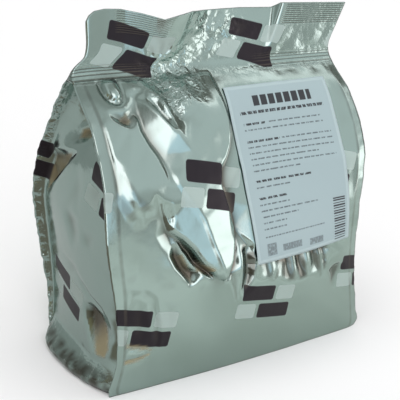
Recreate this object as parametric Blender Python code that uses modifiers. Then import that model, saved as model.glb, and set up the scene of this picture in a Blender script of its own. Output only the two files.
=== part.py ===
"""A five kilogram bag of cement in metallised film, standing on its flat base.

The film is heat-sealed flat along its four upright corners and across its top, and one paper label
is stuck to the front. +Z is up, the front faces -Y, and the origin is the middle of the base.
"""

import math

import bmesh
import bpy
from mathutils import Vector

# Driving dimensions, in metres.
NECK = 0.203
TOP_SEAL_THICKNESS = 0.0016
CORNER_SEAL_THICKNESS = 0.0010

# Heights of the sections of the filled body, closest where the outline turns.
BODY_LEVELS = (
    0.0, 0.003, 0.007, 0.012, 0.018, 0.030, 0.046, 0.060, 0.070, 0.078, 0.085, 0.092, 0.100, 0.108,
    0.116, 0.124, 0.132, 0.140, 0.148, 0.156, 0.164, 0.171, 0.178, 0.185, 0.191, 0.197,
)

# Each row is (height, value). The filled bag leans a little to its left, so its sides differ.
LEFT_CORNER_X = ((0.0, 0.1020), (0.006, 0.1035), (0.03, 0.1015), (0.055, 0.1020), (0.08, 0.1040),
                 (0.11, 0.1070), (0.14, 0.1060), (0.16, 0.1050), (0.18, 0.1058), (0.197, 0.1080))
RIGHT_CORNER_X = ((0.0, 0.1000), (0.006, 0.1005), (0.03, 0.0940), (0.055, 0.0870), (0.08, 0.0830),
                  (0.11, 0.0842), (0.14, 0.0897), (0.16, 0.0917), (0.18, 0.0905), (0.197, 0.0872))
LEFT_HALF_DEPTH = ((0.0, 0.0475), (0.02, 0.0520), (0.05, 0.0545), (0.08, 0.0560), (0.11, 0.0545),
                   (0.14, 0.0480), (0.15, 0.0432), (0.16, 0.0375), (0.17, 0.0313), (0.18, 0.0245),
                   (0.188, 0.0175), (0.197, 0.0085))
RIGHT_HALF_DEPTH = ((0.0, 0.0480), (0.02, 0.0500), (0.05, 0.0535), (0.08, 0.0560), (0.11, 0.0540),
                    (0.14, 0.0470), (0.15, 0.0420), (0.16, 0.0365), (0.17, 0.0305), (0.18, 0.0240),
                    (0.188, 0.0175), (0.197, 0.0085))
# The front swells over the powder, and above it the stiff label holds the slack film straight.
FRONT_BULGE = ((0.0, 0.0030), (0.03, 0.0065), (0.06, 0.0085), (0.08, 0.0092), (0.09, 0.0073),
               (0.11, 0.0012), (0.13, -0.0042), (0.15, -0.0062), (0.17, -0.0045), (0.188, -0.0012),
               (0.197, 0.0))
BACK_BULGE = ((0.0, 0.0030), (0.03, 0.0065), (0.08, 0.0090), (0.12, 0.0105), (0.15, 0.0095),
              (0.17, 0.0070), (0.188, 0.0030), (0.197, 0.0010))
# The sides swell over the powder and tuck in under the top seal, and roll out in a hem at the base.
SIDE_BULGE = ((0.0, 0.0060), (0.05, 0.0060), (0.10, 0.0065), (0.13, 0.0020), (0.15, -0.0030),
              (0.17, -0.0130), (0.184, -0.0200), (0.191, -0.0190), (0.197, -0.0130))
SIDE_HEM = ((0.0, 0.0085), (0.003, 0.0100), (0.007, 0.0090), (0.012, 0.0040), (0.018, 0.0))
HEM_SKEW = 0.3
HEM_POWER = 6
TUCK_POWER = 1.3

# The main folds of the slack film left of the label. Each has its reach to either side, and a line of
# (place right of the panel's middle, height, rise out of the panel), where a hollow has a fall.
PANEL_HALF = 0.100
FRONT_FOLDS = {
    "tongue": (0.015, ((-0.058, 0.142, 0.0040), (-0.046, 0.127, 0.0060), (-0.036, 0.108, 0.0072),
                       (-0.028, 0.085, 0.0078))),
    "seal ridge": (0.013, ((-0.092, 0.156, 0.0022), (-0.081, 0.146, 0.0032), (-0.068, 0.134, 0.0038))),
    "neck roll": (0.012, ((-0.068, 0.187, 0.0020), (-0.059, 0.173, 0.0052), (-0.049, 0.163, 0.0050),
                          (-0.037, 0.153, 0.0032))),
    "pleat": (0.012, ((-0.034, 0.189, 0.0030), (-0.029, 0.174, 0.0028))),
    "left hollow": (0.007, ((-0.061, 0.101, -0.0045), (-0.053, 0.084, -0.0055))),
    "lower hollow": (0.006, ((-0.046, 0.090, -0.0040), (-0.038, 0.084, -0.0030))),
    "label hollow": (0.007, ((-0.005, 0.091, -0.0050), (-0.009, 0.070, -0.0045))),
}

# Left of the label the slack film billows out over that straight panel. Up the height, (height, value):
# how far it stands out, and the place where it falls back to the label.
BILLOW_RISE = ((0.100, 0.0), (0.114, 0.0016), (0.130, 0.0042), (0.150, 0.0056), (0.170, 0.0046),
               (0.188, 0.0026), (0.197, 0.0016))
BILLOW_EDGE = ((0.120, -0.015), (0.136, -0.021), (0.144, -0.019), (0.151, -0.013), (0.158, -0.009),
               (0.170, -0.006))
BILLOW_SLOPE = 0.075
BILLOW_FALL = 0.0036

# Width of each corner seal up the height, and how far it is turned towards the back, in degrees.
FRONT_LEFT_SEAL = ((0.0, 0.0060), (0.02, 0.0045), (0.06, 0.0060), (0.10, 0.0085), (0.15, 0.0085),
                   (0.18, 0.0080), (0.197, 0.0070))
FRONT_RIGHT_SEAL = ((0.0, 0.0060), (0.005, 0.0085), (0.015, 0.0065), (0.05, 0.0060), (0.10, 0.0065),
                    (0.15, 0.0080), (0.18, 0.0075), (0.197, 0.0060))
BACK_LEFT_SEAL = ((0.0, 0.0030), (0.03, 0.0045), (0.06, 0.0075), (0.10, 0.0090), (0.14, 0.0090),
                  (0.17, 0.0075), (0.197, 0.0060))
BACK_RIGHT_SEAL = ((0.0, 0.0060), (0.03, 0.0070), (0.10, 0.0090), (0.15, 0.0085), (0.197, 0.0060))
SEAL_TURN = {"front_left": 2.0, "front_right": 12.0, "back_right": 28.0, "back_left": 34.0}

# The top seal. Rows are spaced as fractions of its height above the neck.
SEAL_ROWS = (0.0, 0.08, 0.18, 0.32, 0.48, 0.64, 0.78, 0.90, 1.0)
SEAL_LEFT_X = ((0.0, -0.1150), (0.15, -0.1120), (0.38, -0.1005), (1.0, -0.0980))
SEAL_RIGHT_X = ((0.0, 0.0930), (0.20, 0.0912), (0.35, 0.0930), (1.0, 0.1060))
# Across the bag, (x, value): where the top edge stands behind the middle plane, and its height.
SEAL_TOP_Y = ((-0.098, 0.0130), (-0.094, 0.0080), (-0.087, 0.0055), (-0.075, 0.0045), (-0.055, -0.0020),
              (-0.036, -0.0110), (-0.030, -0.0040), (-0.010, 0.0090), (0.020, 0.0120), (0.046, 0.0110),
              (0.049, 0.0050), (0.106, 0.0030))
SEAL_TOP_Z = ((-0.098, 0.2375), (-0.092, 0.2428), (-0.085, 0.2436), (-0.078, 0.2430), (-0.064, 0.2402),
              (-0.050, 0.2366), (-0.036, 0.2418), (-0.030, 0.2410), (-0.010, 0.2392), (0.020, 0.2392),
              (0.046, 0.2386), (0.049, 0.2425), (0.106, 0.2412))
SEAL_LEAN = 1.3

# Points across each panel, closer beside the two upright pleats of the top seal.
PANEL_COLUMNS = 36
PLEATS = ((-0.036, -0.030), (0.046, 0.049))
CLEAR_OF_PLEATS = 0.6
SIDE_COLUMNS = 10
CORNER_SEAL_POINTS = 3
SHARP_EDGE = math.radians(35)

# The label: its size, the place of the middle of its lower edge, and its turn about that place.
LABEL_WIDTH = 0.087
LABEL_HEIGHT = 0.120
LABEL_FOOT_X = 0.0350
LABEL_FOOT_Z = 0.0830
LABEL_TURN = math.radians(0.8)
LABEL_THICKNESS = 0.0004
LABEL_GAP = 0.0005
LABEL_STEPS = (12, 18)
WALK_STEP = 0.0005


def smooth(table, at):
    """The value at a place in a table of (place, value) rows, on a smooth curve through them."""
    if at <= table[0][0]:
        return table[0][1]
    if at >= table[-1][0]:
        return table[-1][1]
    slopes = [
        (table[min(i + 1, len(table) - 1)][1] - table[max(i - 1, 0)][1])
        / (table[min(i + 1, len(table) - 1)][0] - table[max(i - 1, 0)][0])
        for i in range(len(table))
    ]
    i = max(k for k in range(len(table) - 1) if table[k][0] <= at)
    step = table[i + 1][0] - table[i][0]
    t = (at - table[i][0]) / step
    start, end = table[i][1], table[i + 1][1]
    return (
        (2 * t**3 - 3 * t**2 + 1) * start
        + (t**3 - 2 * t**2 + t) * step * slopes[i]
        + (3 * t**2 - 2 * t**3) * end
        + (t**3 - t**2) * step * slopes[i + 1]
    )


def straight(table, at):
    """The value at a place in a table, on straight lines between its rows."""
    if at <= table[0][0]:
        return table[0][1]
    for (low, start), (high, end) in zip(table, table[1:]):
        if at <= high:
            return start + (end - start) * (at - low) / (high - low)
    return table[-1][1]


def panel_fractions():
    """How far across the panel each column of points lies, from 0 at its left seal to 1."""
    left, right = SEAL_LEFT_X[-1][1], SEAL_RIGHT_X[-1][1]
    pleats = [(x - left) / (right - left) for pleat in PLEATS for x in pleat]
    clear = CLEAR_OF_PLEATS / PANEL_COLUMNS
    even = [i / PANEL_COLUMNS for i in range(PANEL_COLUMNS + 1)]
    kept = [s for s in even if all(abs(s - p) > clear for p in pleats)]
    return sorted(kept + pleats)


def panel_bulge(table, across, height):
    """How far the front or back panel swells past the line between its two corners."""
    return smooth(table, height) * (1 - (2 * across - 1) ** 2)


def fold_rise(line, reach, place, height):
    """The rise that one fold gives a point: its crest line's rise, fading out over its reach."""
    point = Vector((place, height))
    best, rise = reach, 0.0
    for (x, z, start), (far_x, far_z, end) in zip(line, line[1:]):
        low, high = Vector((x, z)), Vector((far_x, far_z))
        along = (point - low).dot(high - low) / (high - low).length_squared
        along = min(max(along, 0), 1)
        away = (point - low.lerp(high, along)).length
        if away < best:
            best, rise = away, start + (end - start) * along
    nearness = 1 - best / reach
    return rise * nearness**2 * (3 - 2 * nearness)


def billow(place, height):
    """How far the slack film left of the label stands out past the panel that the label holds."""
    climb = min(max((place + PANEL_HALF) / BILLOW_SLOPE, 0), 1)
    fall = (place - straight(BILLOW_EDGE, height)) / BILLOW_FALL + 1
    fall = min(max(fall, 0), 1)
    return straight(BILLOW_RISE, height) * climb * (1 - fall**2 * (3 - 2 * fall))


def front_relief(across, height):
    """How far the slack film and its folds stand out of the front panel at a place."""
    place = (2 * across - 1) * PANEL_HALF
    folds = sum(fold_rise(line, reach, place, height) for reach, line in FRONT_FOLDS.values())
    return billow(place, height) + folds


def corners(height):
    """The four corners of the filled body at a height, where its panels meet the corner seals."""
    left, right = -smooth(LEFT_CORNER_X, height), smooth(RIGHT_CORNER_X, height)
    left_depth, right_depth = smooth(LEFT_HALF_DEPTH, height), smooth(RIGHT_HALF_DEPTH, height)
    return {
        "front_left": Vector((left, -left_depth)),
        "front_right": Vector((right, -right_depth)),
        "back_right": Vector((right, right_depth)),
        "back_left": Vector((left, left_depth)),
    }


def corner_seal(name, corner, width):
    """The four points of a corner seal's section: root and tip on the panel, tip and root on the side."""
    turn = math.radians(SEAL_TURN[name])
    outward = -1 if "left" in name else 1
    along = Vector((outward * math.cos(turn), math.sin(turn)))
    if "front" in name:
        across = Vector((outward * math.sin(turn), -math.cos(turn)))
    else:
        across = Vector((-outward * math.sin(turn), math.cos(turn)))
    half = across * CORNER_SEAL_THICKNESS / 2
    tip = corner + along * width
    return corner + half, tip + half, tip - half, corner - half


def panel(start, end, outward, table, height, fractions):
    """The points of a front or back panel between two seals, without the seal roots themselves."""
    return [
        start.lerp(end, across) + Vector((0, outward * panel_bulge(table, across, height)))
        for across in fractions[1:-1]
    ]


def side(start, end, outward, height):
    """The points of a side between two seals, swelling out, or tucked in to a soft V near the top."""
    bulge, hem = smooth(SIDE_BULGE, height), smooth(SIDE_HEM, height)
    points = []
    for i in range(1, SIDE_COLUMNS):
        across = 2 * i / SIDE_COLUMNS - 1
        shape = 1 - across**2 if bulge > 0 else 1 - abs(across) ** TUCK_POWER
        frontness = -outward * across
        out = bulge * shape + hem * (1 - across**HEM_POWER) * (1 - HEM_SKEW * frontness)
        points.append(start.lerp(end, i / SIDE_COLUMNS) + Vector((outward * out, 0)))
    return points


def body_ring(height, fractions):
    """One section of the filled body, counter-clockwise from above, as named runs of points."""
    at = corners(height)
    widths = {
        "front_left": smooth(FRONT_LEFT_SEAL, height),
        "front_right": smooth(FRONT_RIGHT_SEAL, height),
        "back_right": smooth(BACK_RIGHT_SEAL, height),
        "back_left": smooth(BACK_LEFT_SEAL, height),
    }
    seal = {name: corner_seal(name, at[name], widths[name]) for name in at}
    front_left, front_right = seal["front_left"], seal["front_right"]
    back_right, back_left = seal["back_right"], seal["back_left"]
    front = panel(front_left[0], front_right[0], -1, FRONT_BULGE, height, fractions)
    for point, across in zip(front, fractions[1:-1]):
        point.y -= front_relief(across, height)
    back = panel(back_left[0], back_right[0], 1, BACK_BULGE, height, fractions)
    ring = [front_left[0], *front, *front_right]
    ring += side(front_right[3], back_right[3], 1, height)
    ring += [back_right[3], back_right[2], back_right[1], back_right[0], *reversed(back)]
    ring += [back_left[0], back_left[1], back_left[2], back_left[3]]
    ring += side(back_left[3], front_left[3], -1, height)
    ring += [front_left[3], front_left[2], front_left[1]]
    return [Vector((x, y, height)) for x, y in ring]


def top_seal_row(row, fractions):
    """One row of the top seal: its front points from left to right, then its back points."""
    left, right = smooth(SEAL_LEFT_X, row), smooth(SEAL_RIGHT_X, row)
    full_left, full_right = SEAL_LEFT_X[-1][1], SEAL_RIGHT_X[-1][1]
    front, back = [], []
    for across in fractions:
        x = left + (right - left) * across
        place = full_left + (full_right - full_left) * across
        y = straight(SEAL_TOP_Y, place) * row**SEAL_LEAN
        z = NECK + (straight(SEAL_TOP_Z, place) - NECK) * row
        front.append(Vector((x, y - TOP_SEAL_THICKNESS / 2, z)))
        back.append(Vector((x, y + TOP_SEAL_THICKNESS / 2, z)))
    return front + back


def loft(bm, low, high):
    """Quads between two closed rings of as many points each."""
    for i in range(len(low)):
        j = (i + 1) % len(low)
        bm.faces.new((low[i], low[j], high[j], high[i]))


def close_neck(bm, ring, row, columns):
    """Joins the last body section to the first row of the top seal, whose ends are plain edges."""
    front, back = row[:columns], row[columns:]
    front_left = 0
    front_right = columns - 1
    back_right = front_right + CORNER_SEAL_POINTS + SIDE_COLUMNS + CORNER_SEAL_POINTS
    back_left = back_right + columns - 1
    for i in range(columns - 1):
        bm.faces.new((ring[front_left + i], ring[front_left + i + 1], front[i + 1], front[i]))
        far = columns - 1 - i
        bm.faces.new((ring[back_right + i], ring[back_right + i + 1], back[far - 1], back[far]))
    count = len(ring)
    ends = ((front_right, back_right, front[-1], back[-1]), (back_left, count, back[0], front[0]))
    for first, last, near, far in ends:
        middle = (first + last) // 2
        for i in range(first, last):
            apex = near if i < middle else far
            bm.faces.new((ring[i], ring[(i + 1) % count], apex))
        bm.faces.new((near, ring[middle % count], far))


def make_bag():
    """The filled film as one closed solid, from the flat base to the edge of the top seal."""
    fractions = panel_fractions()
    columns = len(fractions)
    bm = bmesh.new()
    rings = [[bm.verts.new(p) for p in body_ring(z, fractions)] for z in BODY_LEVELS]
    rows = [[bm.verts.new(p) for p in top_seal_row(v, fractions)] for v in SEAL_ROWS]
    bm.faces.new(list(reversed(rings[0])))
    for low, high in zip(rings, rings[1:]):
        loft(bm, low, high)
    close_neck(bm, rings[-1], rows[0], columns)
    outlines = [row[:columns] + list(reversed(row[columns:])) for row in rows]
    for low, high in zip(outlines, outlines[1:]):
        loft(bm, low, high)
    top = rows[-1]
    for i in range(columns - 1):
        bm.faces.new((top[i], top[i + 1], top[columns + i + 1], top[columns + i]))
    bmesh.ops.recalc_face_normals(bm, faces=bm.faces)
    return object_from(bm, "bag")


def front_surface(x, height):
    """The point of the front panel, or of the seal at its right edge, at a place across and a height."""
    at = corners(height)
    start, end = at["front_left"], at["front_right"]
    across = (x - start.x) / (end.x - start.x)
    if across > 1:
        turned = (x - end.x) * math.tan(math.radians(SEAL_TURN["front_right"]))
        return Vector((x, end.y + turned - CORNER_SEAL_THICKNESS / 2, height))
    y = start.y + (end.y - start.y) * across - CORNER_SEAL_THICKNESS / 2
    return Vector((x, y - panel_bulge(FRONT_BULGE, across, height), height))


def heights_up_front(x, start, distance):
    """The heights reached at each step of a walk up the front panel, over its curve."""
    heights = [start]
    while len(heights) * WALK_STEP < distance:
        here = front_surface(x, heights[-1])
        ahead = front_surface(x, heights[-1] + WALK_STEP)
        heights.append(heights[-1] + WALK_STEP**2 / (ahead - here).length)
    return heights


def make_label():
    """The paper label, a thin sheet that lies on the front panel."""
    bm = bmesh.new()
    columns, rows = LABEL_STEPS
    bmesh.ops.create_grid(bm, x_segments=columns, y_segments=rows, size=0.5)
    cos, sin = math.cos(LABEL_TURN), math.sin(LABEL_TURN)
    drop = LABEL_WIDTH / 2 * sin
    heights = heights_up_front(LABEL_FOOT_X, LABEL_FOOT_Z - drop, LABEL_HEIGHT + 3 * drop)
    for vert in bm.verts:
        u, v = vert.co.x * LABEL_WIDTH, (vert.co.y + 0.5) * LABEL_HEIGHT
        walked = u * sin + v * cos + drop
        height = heights[round(walked / WALK_STEP)]
        vert.co = front_surface(LABEL_FOOT_X + u * cos - v * sin, height)
        vert.co.y -= LABEL_GAP
    bmesh.ops.recalc_face_normals(bm, faces=bm.faces)
    if sum(face.normal.y for face in bm.faces) > 0:
        bmesh.ops.reverse_faces(bm, faces=bm.faces)
    label = object_from(bm, "label")
    sheet = label.modifiers.new("Paper thickness", "SOLIDIFY")
    sheet.thickness = LABEL_THICKNESS
    sheet.offset = 1
    return label


def object_from(bm, name):
    """A new smooth-shaded object in the bag's collection, made of the given faces."""
    mesh = bpy.data.meshes.new(name)
    bm.to_mesh(mesh)
    bm.free()
    mesh.shade_smooth()
    mesh.set_sharp_from_angle(angle=SHARP_EDGE)
    obj = bpy.data.objects.new(name, mesh)
    bpy.data.collections["Cement bag"].objects.link(obj)
    return obj


def finish(obj, name, colour, roughness, metallic):
    """Gives an object its own plain material."""
    material = bpy.data.materials.new(name)
    material.use_nodes = True
    shader = material.node_tree.nodes["Principled BSDF"]
    shader.inputs["Base Color"].default_value = (*colour, 1)
    shader.inputs["Roughness"].default_value = roughness
    shader.inputs["Metallic"].default_value = metallic
    obj.data.materials.append(material)


def main():
    for old in list(bpy.data.objects):
        bpy.data.objects.remove(old)
    collection = bpy.data.collections.new("Cement bag")
    bpy.context.scene.collection.children.link(collection)
    finish(make_bag(), "Metallised film", (0.62, 0.70, 0.67), 0.25, 0.9)
    finish(make_label(), "Label paper", (0.70, 0.76, 0.78), 0.6, 0.0)


main()
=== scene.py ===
"""Looks of a filled cement bag in metallised film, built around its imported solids.

The film is one closed mesh: it repeats the section tables of the solid, then takes folds, crumples,
crimped seals and a rolled hem. The paper label is a thin curved sheet stuck over the front.
Places on the film are (p, t): p runs across a panel and t up it, both in millimetres.
"""

import math

import bpy
import numpy as np
from mathutils import Matrix, Vector
from mathutils.geometry import delaunay_2d_cdt


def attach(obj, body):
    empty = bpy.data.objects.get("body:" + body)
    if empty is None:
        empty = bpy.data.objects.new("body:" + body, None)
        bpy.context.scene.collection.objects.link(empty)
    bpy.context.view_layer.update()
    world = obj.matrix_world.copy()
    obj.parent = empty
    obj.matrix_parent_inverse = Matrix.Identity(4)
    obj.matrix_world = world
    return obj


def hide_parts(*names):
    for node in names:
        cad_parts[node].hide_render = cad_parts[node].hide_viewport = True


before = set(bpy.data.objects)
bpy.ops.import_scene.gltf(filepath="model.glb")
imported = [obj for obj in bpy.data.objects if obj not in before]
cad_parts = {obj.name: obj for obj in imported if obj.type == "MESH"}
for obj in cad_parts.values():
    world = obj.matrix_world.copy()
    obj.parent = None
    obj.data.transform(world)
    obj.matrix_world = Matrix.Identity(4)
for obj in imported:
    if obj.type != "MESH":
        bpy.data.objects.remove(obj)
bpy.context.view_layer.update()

MM = 0.001

# Camera, fitted to the corners and seals of the bag.
CAMERA_YAW = math.radians(-34.13)
CAMERA_PITCH = math.radians(20.69)
CAMERA_ROLL = math.radians(3.31)
CAMERA_DISTANCE = 0.6832
CAMERA_SLIDE = (0.0052, -0.0978)
CAMERA_LENS = 81.0

# The solid's own section tables, in metres: rows of (height, value).
NECK = 0.203
TOP_SEAL_THICKNESS = 0.0016
CORNER_SEAL_THICKNESS = 0.0010
LEFT_CORNER_X = ((0, 0.102), (0.006, 0.1035), (0.03, 0.1015), (0.055, 0.102), (0.08, 0.104),
                 (0.11, 0.107), (0.14, 0.106), (0.16, 0.105), (0.18, 0.1058), (0.197, 0.108))
RIGHT_CORNER_X = ((0, 0.1), (0.006, 0.1005), (0.03, 0.094), (0.055, 0.087), (0.08, 0.083),
                  (0.11, 0.0842), (0.14, 0.0897), (0.16, 0.0917), (0.18, 0.0905), (0.197, 0.0872))
LEFT_HALF_DEPTH = ((0, 0.0475), (0.02, 0.052), (0.05, 0.0545), (0.08, 0.056), (0.11, 0.0545),
                   (0.14, 0.048), (0.15, 0.0432), (0.16, 0.0375), (0.17, 0.0313), (0.18, 0.0245),
                   (0.188, 0.0175), (0.197, 0.0085))
RIGHT_HALF_DEPTH = ((0, 0.048), (0.02, 0.05), (0.05, 0.0535), (0.08, 0.056), (0.11, 0.054),
                    (0.14, 0.047), (0.15, 0.042), (0.16, 0.0365), (0.17, 0.0305), (0.18, 0.024),
                    (0.188, 0.0175), (0.197, 0.0085))
FRONT_BULGE = ((0, 0.003), (0.03, 0.0065), (0.06, 0.0085), (0.08, 0.0092), (0.09, 0.0073),
               (0.11, 0.0012), (0.13, -0.0042), (0.15, -0.0062), (0.17, -0.0045), (0.188, -0.0012),
               (0.197, 0))
BACK_BULGE = ((0, 0.003), (0.03, 0.0065), (0.08, 0.009), (0.12, 0.0105), (0.15, 0.0095),
              (0.17, 0.007), (0.188, 0.003), (0.197, 0.001))
SIDE_BULGE = ((0, 0.006), (0.05, 0.006), (0.1, 0.0065), (0.13, 0.002), (0.15, -0.003),
              (0.17, -0.013), (0.184, -0.02), (0.191, -0.019), (0.197, -0.013))
SIDE_HEM = ((0, 0.0085), (0.003, 0.01), (0.007, 0.009), (0.012, 0.004), (0.018, 0))
# How far the hem leans to the front, how square it is, and how sharp the tuck above it is.
HEM_SKEW = 0.3
HEM_POWER = 6
TUCK_POWER = 1.3
# How far each corner seal stands out, by height, and its turn from the panel's plane in degrees.
SEAL_WIDTH = {
    "front_left": ((0, 0.006), (0.02, 0.0045), (0.06, 0.006), (0.1, 0.0085), (0.15, 0.0085),
                   (0.18, 0.008), (0.197, 0.007)),
    "front_right": ((0, 0.006), (0.005, 0.0085), (0.015, 0.0065), (0.05, 0.006), (0.1, 0.0065),
                    (0.15, 0.008), (0.18, 0.0075), (0.197, 0.006)),
    "back_left": ((0, 0.003), (0.03, 0.0045), (0.06, 0.0075), (0.1, 0.009), (0.14, 0.009),
                  (0.17, 0.0075), (0.197, 0.006)),
    "back_right": ((0, 0.006), (0.03, 0.007), (0.1, 0.009), (0.15, 0.0085), (0.197, 0.006)),
}
SEAL_TURN = {"front_left": 2, "front_right": 12, "back_right": 28, "back_left": 34}
# The top seal: x of its ends by share of its height, then y and z of its top edge by x.
SEAL_LEFT_X = ((0, -0.115), (0.15, -0.1128), (0.38, -0.104), (1, -0.1024))
SEAL_RIGHT_X = ((0, 0.093), (0.2, 0.0912), (0.35, 0.093), (1, 0.106))
SEAL_TOP_Y = ((-0.1024, 0.0032), (-0.094, 0.004), (-0.087, 0.0043), (-0.075, 0.0038), (-0.055, -0.002),
              (-0.036, -0.011), (-0.03, -0.004), (-0.01, 0.009), (0.02, 0.012), (0.046, 0.011),
              (0.049, 0.005), (0.106, 0.003))
SEAL_TOP_Z = ((-0.1024, 0.2362), (-0.1004, 0.2398), (-0.0965, 0.2424), (-0.089, 0.2435),
              (-0.078, 0.243), (-0.064, 0.2402), (-0.05, 0.2366), (-0.036, 0.2418), (-0.03, 0.241),
              (-0.01, 0.2392), (0.02, 0.2392), (0.046, 0.2386), (0.049, 0.2425), (0.106, 0.2412))
SEAL_LEAN = 1.3
SEAL_RISE = 40.0

# How finely the film is divided: (place, step after it) in millimetres, then the columns of a side and
# of a corner seal, and how far the columns of a panel, a side and a corner seal are taken to reach.
BODY_STEPS = ((0, 1.6), (16, 1.7), (44, 2.4), (54, 1.15), (197, None))
SEAL_STEPS = ((0, 0.9), (25, 0.45), (40, None))
PANEL_STEPS = ((-100, 0.97), (6, 1.9), (100, None))
SIDE_COLUMNS = 50
STRIP_COLUMNS = 5
PANEL_HALF = 100.0
SIDE_HALF = 50.0
STRIP_SPAN = 8.0


def smooth(table, at):
    """The values at places in a table of (place, value) rows, on a smooth curve through them."""
    places, values = np.array(table).T
    slopes = np.gradient(values, places, edge_order=1)
    slopes[1:-1] = (values[2:] - values[:-2]) / (places[2:] - places[:-2])
    at = np.clip(at, places[0], places[-1])
    i = np.clip(np.searchsorted(places, at, side="right") - 1, 0, len(places) - 2)
    step = places[i + 1] - places[i]
    t = (at - places[i]) / step
    return (
        (2 * t**3 - 3 * t**2 + 1) * values[i]
        + (t**3 - 2 * t**2 + t) * step * slopes[i]
        + (3 * t**2 - 2 * t**3) * values[i + 1]
        + (t**3 - t**2) * step * slopes[i + 1]
    )


def straight(table, at):
    """The values at places in a table, on straight lines between its rows."""
    places, values = np.array(table).T
    return np.interp(at, places, values)


def ease(low, high, at):
    """A soft step from 0 at low to 1 at high."""
    t = np.clip((at - low) / (high - low), 0, 1)
    return t * t * (3 - 2 * t)


def band(at, rise, fall):
    """1 between two soft edges, each given as (low, high), and 0 outside them."""
    return ease(*rise, at) * (1 - ease(*fall, at))


def spaced(steps):
    """Places from the first to the last, with the step that each stretch asks for."""
    places = []
    for (start, step), (end, _) in zip(steps, steps[1:]):
        count = round((end - start) / step)
        places += [start + (end - start) * i / count for i in range(count)]
    return np.array(places + [steps[-1][0]])


def noise(seed, waves, longest):
    """A smooth repeatable wobble: a function of place, made of a few sine waves."""
    chance = np.random.default_rng(seed)
    lengths = longest * 0.62 ** np.arange(waves) * chance.uniform(0.85, 1.15, waves)
    phases = chance.uniform(0, 2 * math.pi, waves)
    weights = 0.75 ** np.arange(waves)

    def at(place):
        total = sum(w * np.sin(2 * math.pi * place / n + f) for w, n, f in zip(weights, lengths, phases))
        return total / weights.sum()

    return at


BODY_ROWS = spaced(BODY_STEPS)
SEAL_ROWS = spaced(SEAL_STEPS)
STRIP = np.linspace(0, 1, STRIP_COLUMNS + 1)
ACROSS = (spaced(PANEL_STEPS) / PANEL_HALF + 1) / 2
FRONT_ROWS = np.concatenate([BODY_ROWS, NECK / MM + SEAL_ROWS])
PANEL_PLACES = (ACROSS * 2 - 1) * PANEL_HALF
FRONT_COLUMNS = np.concatenate([
    -PANEL_HALF - STRIP_SPAN * STRIP[:0:-1], PANEL_PLACES, PANEL_HALF + STRIP_SPAN * STRIP[1:],
])
SIDE_PLACES = np.linspace(-1, 1, SIDE_COLUMNS + 1)[1:-1]
SIDE_MIDDLE = slice(len(STRIP), -len(STRIP))
FRONT = (FRONT_COLUMNS, FRONT_ROWS)
SIDE = (SIDE_PLACES * SIDE_HALF, BODY_ROWS)


def corner_points(height):
    """The four corners of the filled body, where its panels meet the corner seals."""
    sides = (("left", -smooth(LEFT_CORNER_X, height), smooth(LEFT_HALF_DEPTH, height)),
             ("right", smooth(RIGHT_CORNER_X, height), smooth(RIGHT_HALF_DEPTH, height)))
    return {f"{end}_{side}": np.stack([x, way * depth], -1)
            for side, x, depth in sides for end, way in (("front", -1), ("back", 1))}


# How each corner seal waves: seed, bend, ragged edge and longest wave, in millimetres.
STRIP_WAVE = {
    "front_left": (11, 0.25, 0.25, 34),
    "front_right": (12, 0.4, 0.35, 34),
    "back_left": (13, 1.5, 0.7, 15),
    "back_right": (14, 1.2, 0.5, 18),
}
# The wave fades out below this height in metres, and grows outwards by this power.
STRIP_FOOT = 0.02
STRIP_CURL = 1.5
# Added to a seal's seed for its ragged edge, then the waves and the longest wave of that edge.
RAGGED = (40, 7, 22)
# Where the front left seal is bent to its front, in (height, millimetres at its tip).
STRIP_BEND = ((0, 0), (20, 0.4), (60, 0.2), (112, 0.1), (124, -0.5), (138, -0.3), (144, 1.2), (160, 1.2),
              (164, 0.2), (168, 0.3), (171, 1.3), (178, 1.3), (182, 0.2), (197, 0))


def corner_strip(name, corner, height, face):
    """One face of a corner seal, from its root on the body out to its wavy tip."""
    turn = math.radians(SEAL_TURN[name])
    outward = -1 if "left" in name else 1
    along = np.array([outward * math.cos(turn), math.sin(turn)])
    away = 1 if "front" in name else -1
    across = np.array([away * outward * math.sin(turn), -away * math.cos(turn)])
    seed, bend, ragged, longest = STRIP_WAVE[name]
    wave = bend * MM * noise(seed, 4, longest)(height / MM) * ease(0, STRIP_FOOT, height)
    if name == "front_left":
        wave = wave + straight(STRIP_BEND, height / MM) * MM
    step, waves, ragged_longest = RAGGED
    edge = noise(seed + step, waves, ragged_longest)(height / MM)
    reach = smooth(SEAL_WIDTH[name], height) + ragged * MM * edge
    points = []
    for f in STRIP:
        offset = wave * f**STRIP_CURL + face * CORNER_SEAL_THICKNESS / 2
        points.append(corner + along * (reach * f)[:, None] + across * offset[:, None])
    return np.stack(points, 1)


def between(start, end, share):
    """Straight level lines from one seal root to another, at these shares of the way."""
    share = share[None, :, None]
    return start[:, None] * (1 - share) + end[:, None] * share


def panel_run(start, end, height, outward, table):
    """A front or back panel between two seal roots, left to right."""
    run = between(start, end, ACROSS[1:-1])
    bulge = smooth(table, height)[:, None] * (1 - (2 * ACROSS[None, 1:-1] - 1) ** 2)
    run[..., 1] += outward * bulge
    return run


def side_run(start, end, height, outward):
    """A side between two seal roots, swelling out, or tucked in to a soft V near the top."""
    run = between(start, end, (SIDE_PLACES + 1) / 2)
    run[..., 0] += outward * side_swell(SIDE_PLACES[None, :], height[:, None], outward)
    return run


def side_swell(across, height, outward):
    """How far a side stands out past the straight line between its seals."""
    bulge, hem = smooth(SIDE_BULGE, height), smooth(SIDE_HEM, height)
    shape = np.where(bulge > 0, 1 - across**2, 1 - np.abs(across) ** TUCK_POWER)
    frontness = -outward * across
    return bulge * shape + hem * (1 - np.abs(across) ** HEM_POWER) * (1 - HEM_SKEW * frontness)


def upright(flat, height):
    """The same points with their heights."""
    z = np.broadcast_to(height[:, None, None], (*flat.shape[:2], 1))
    return np.concatenate([flat, z], -1)


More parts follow.
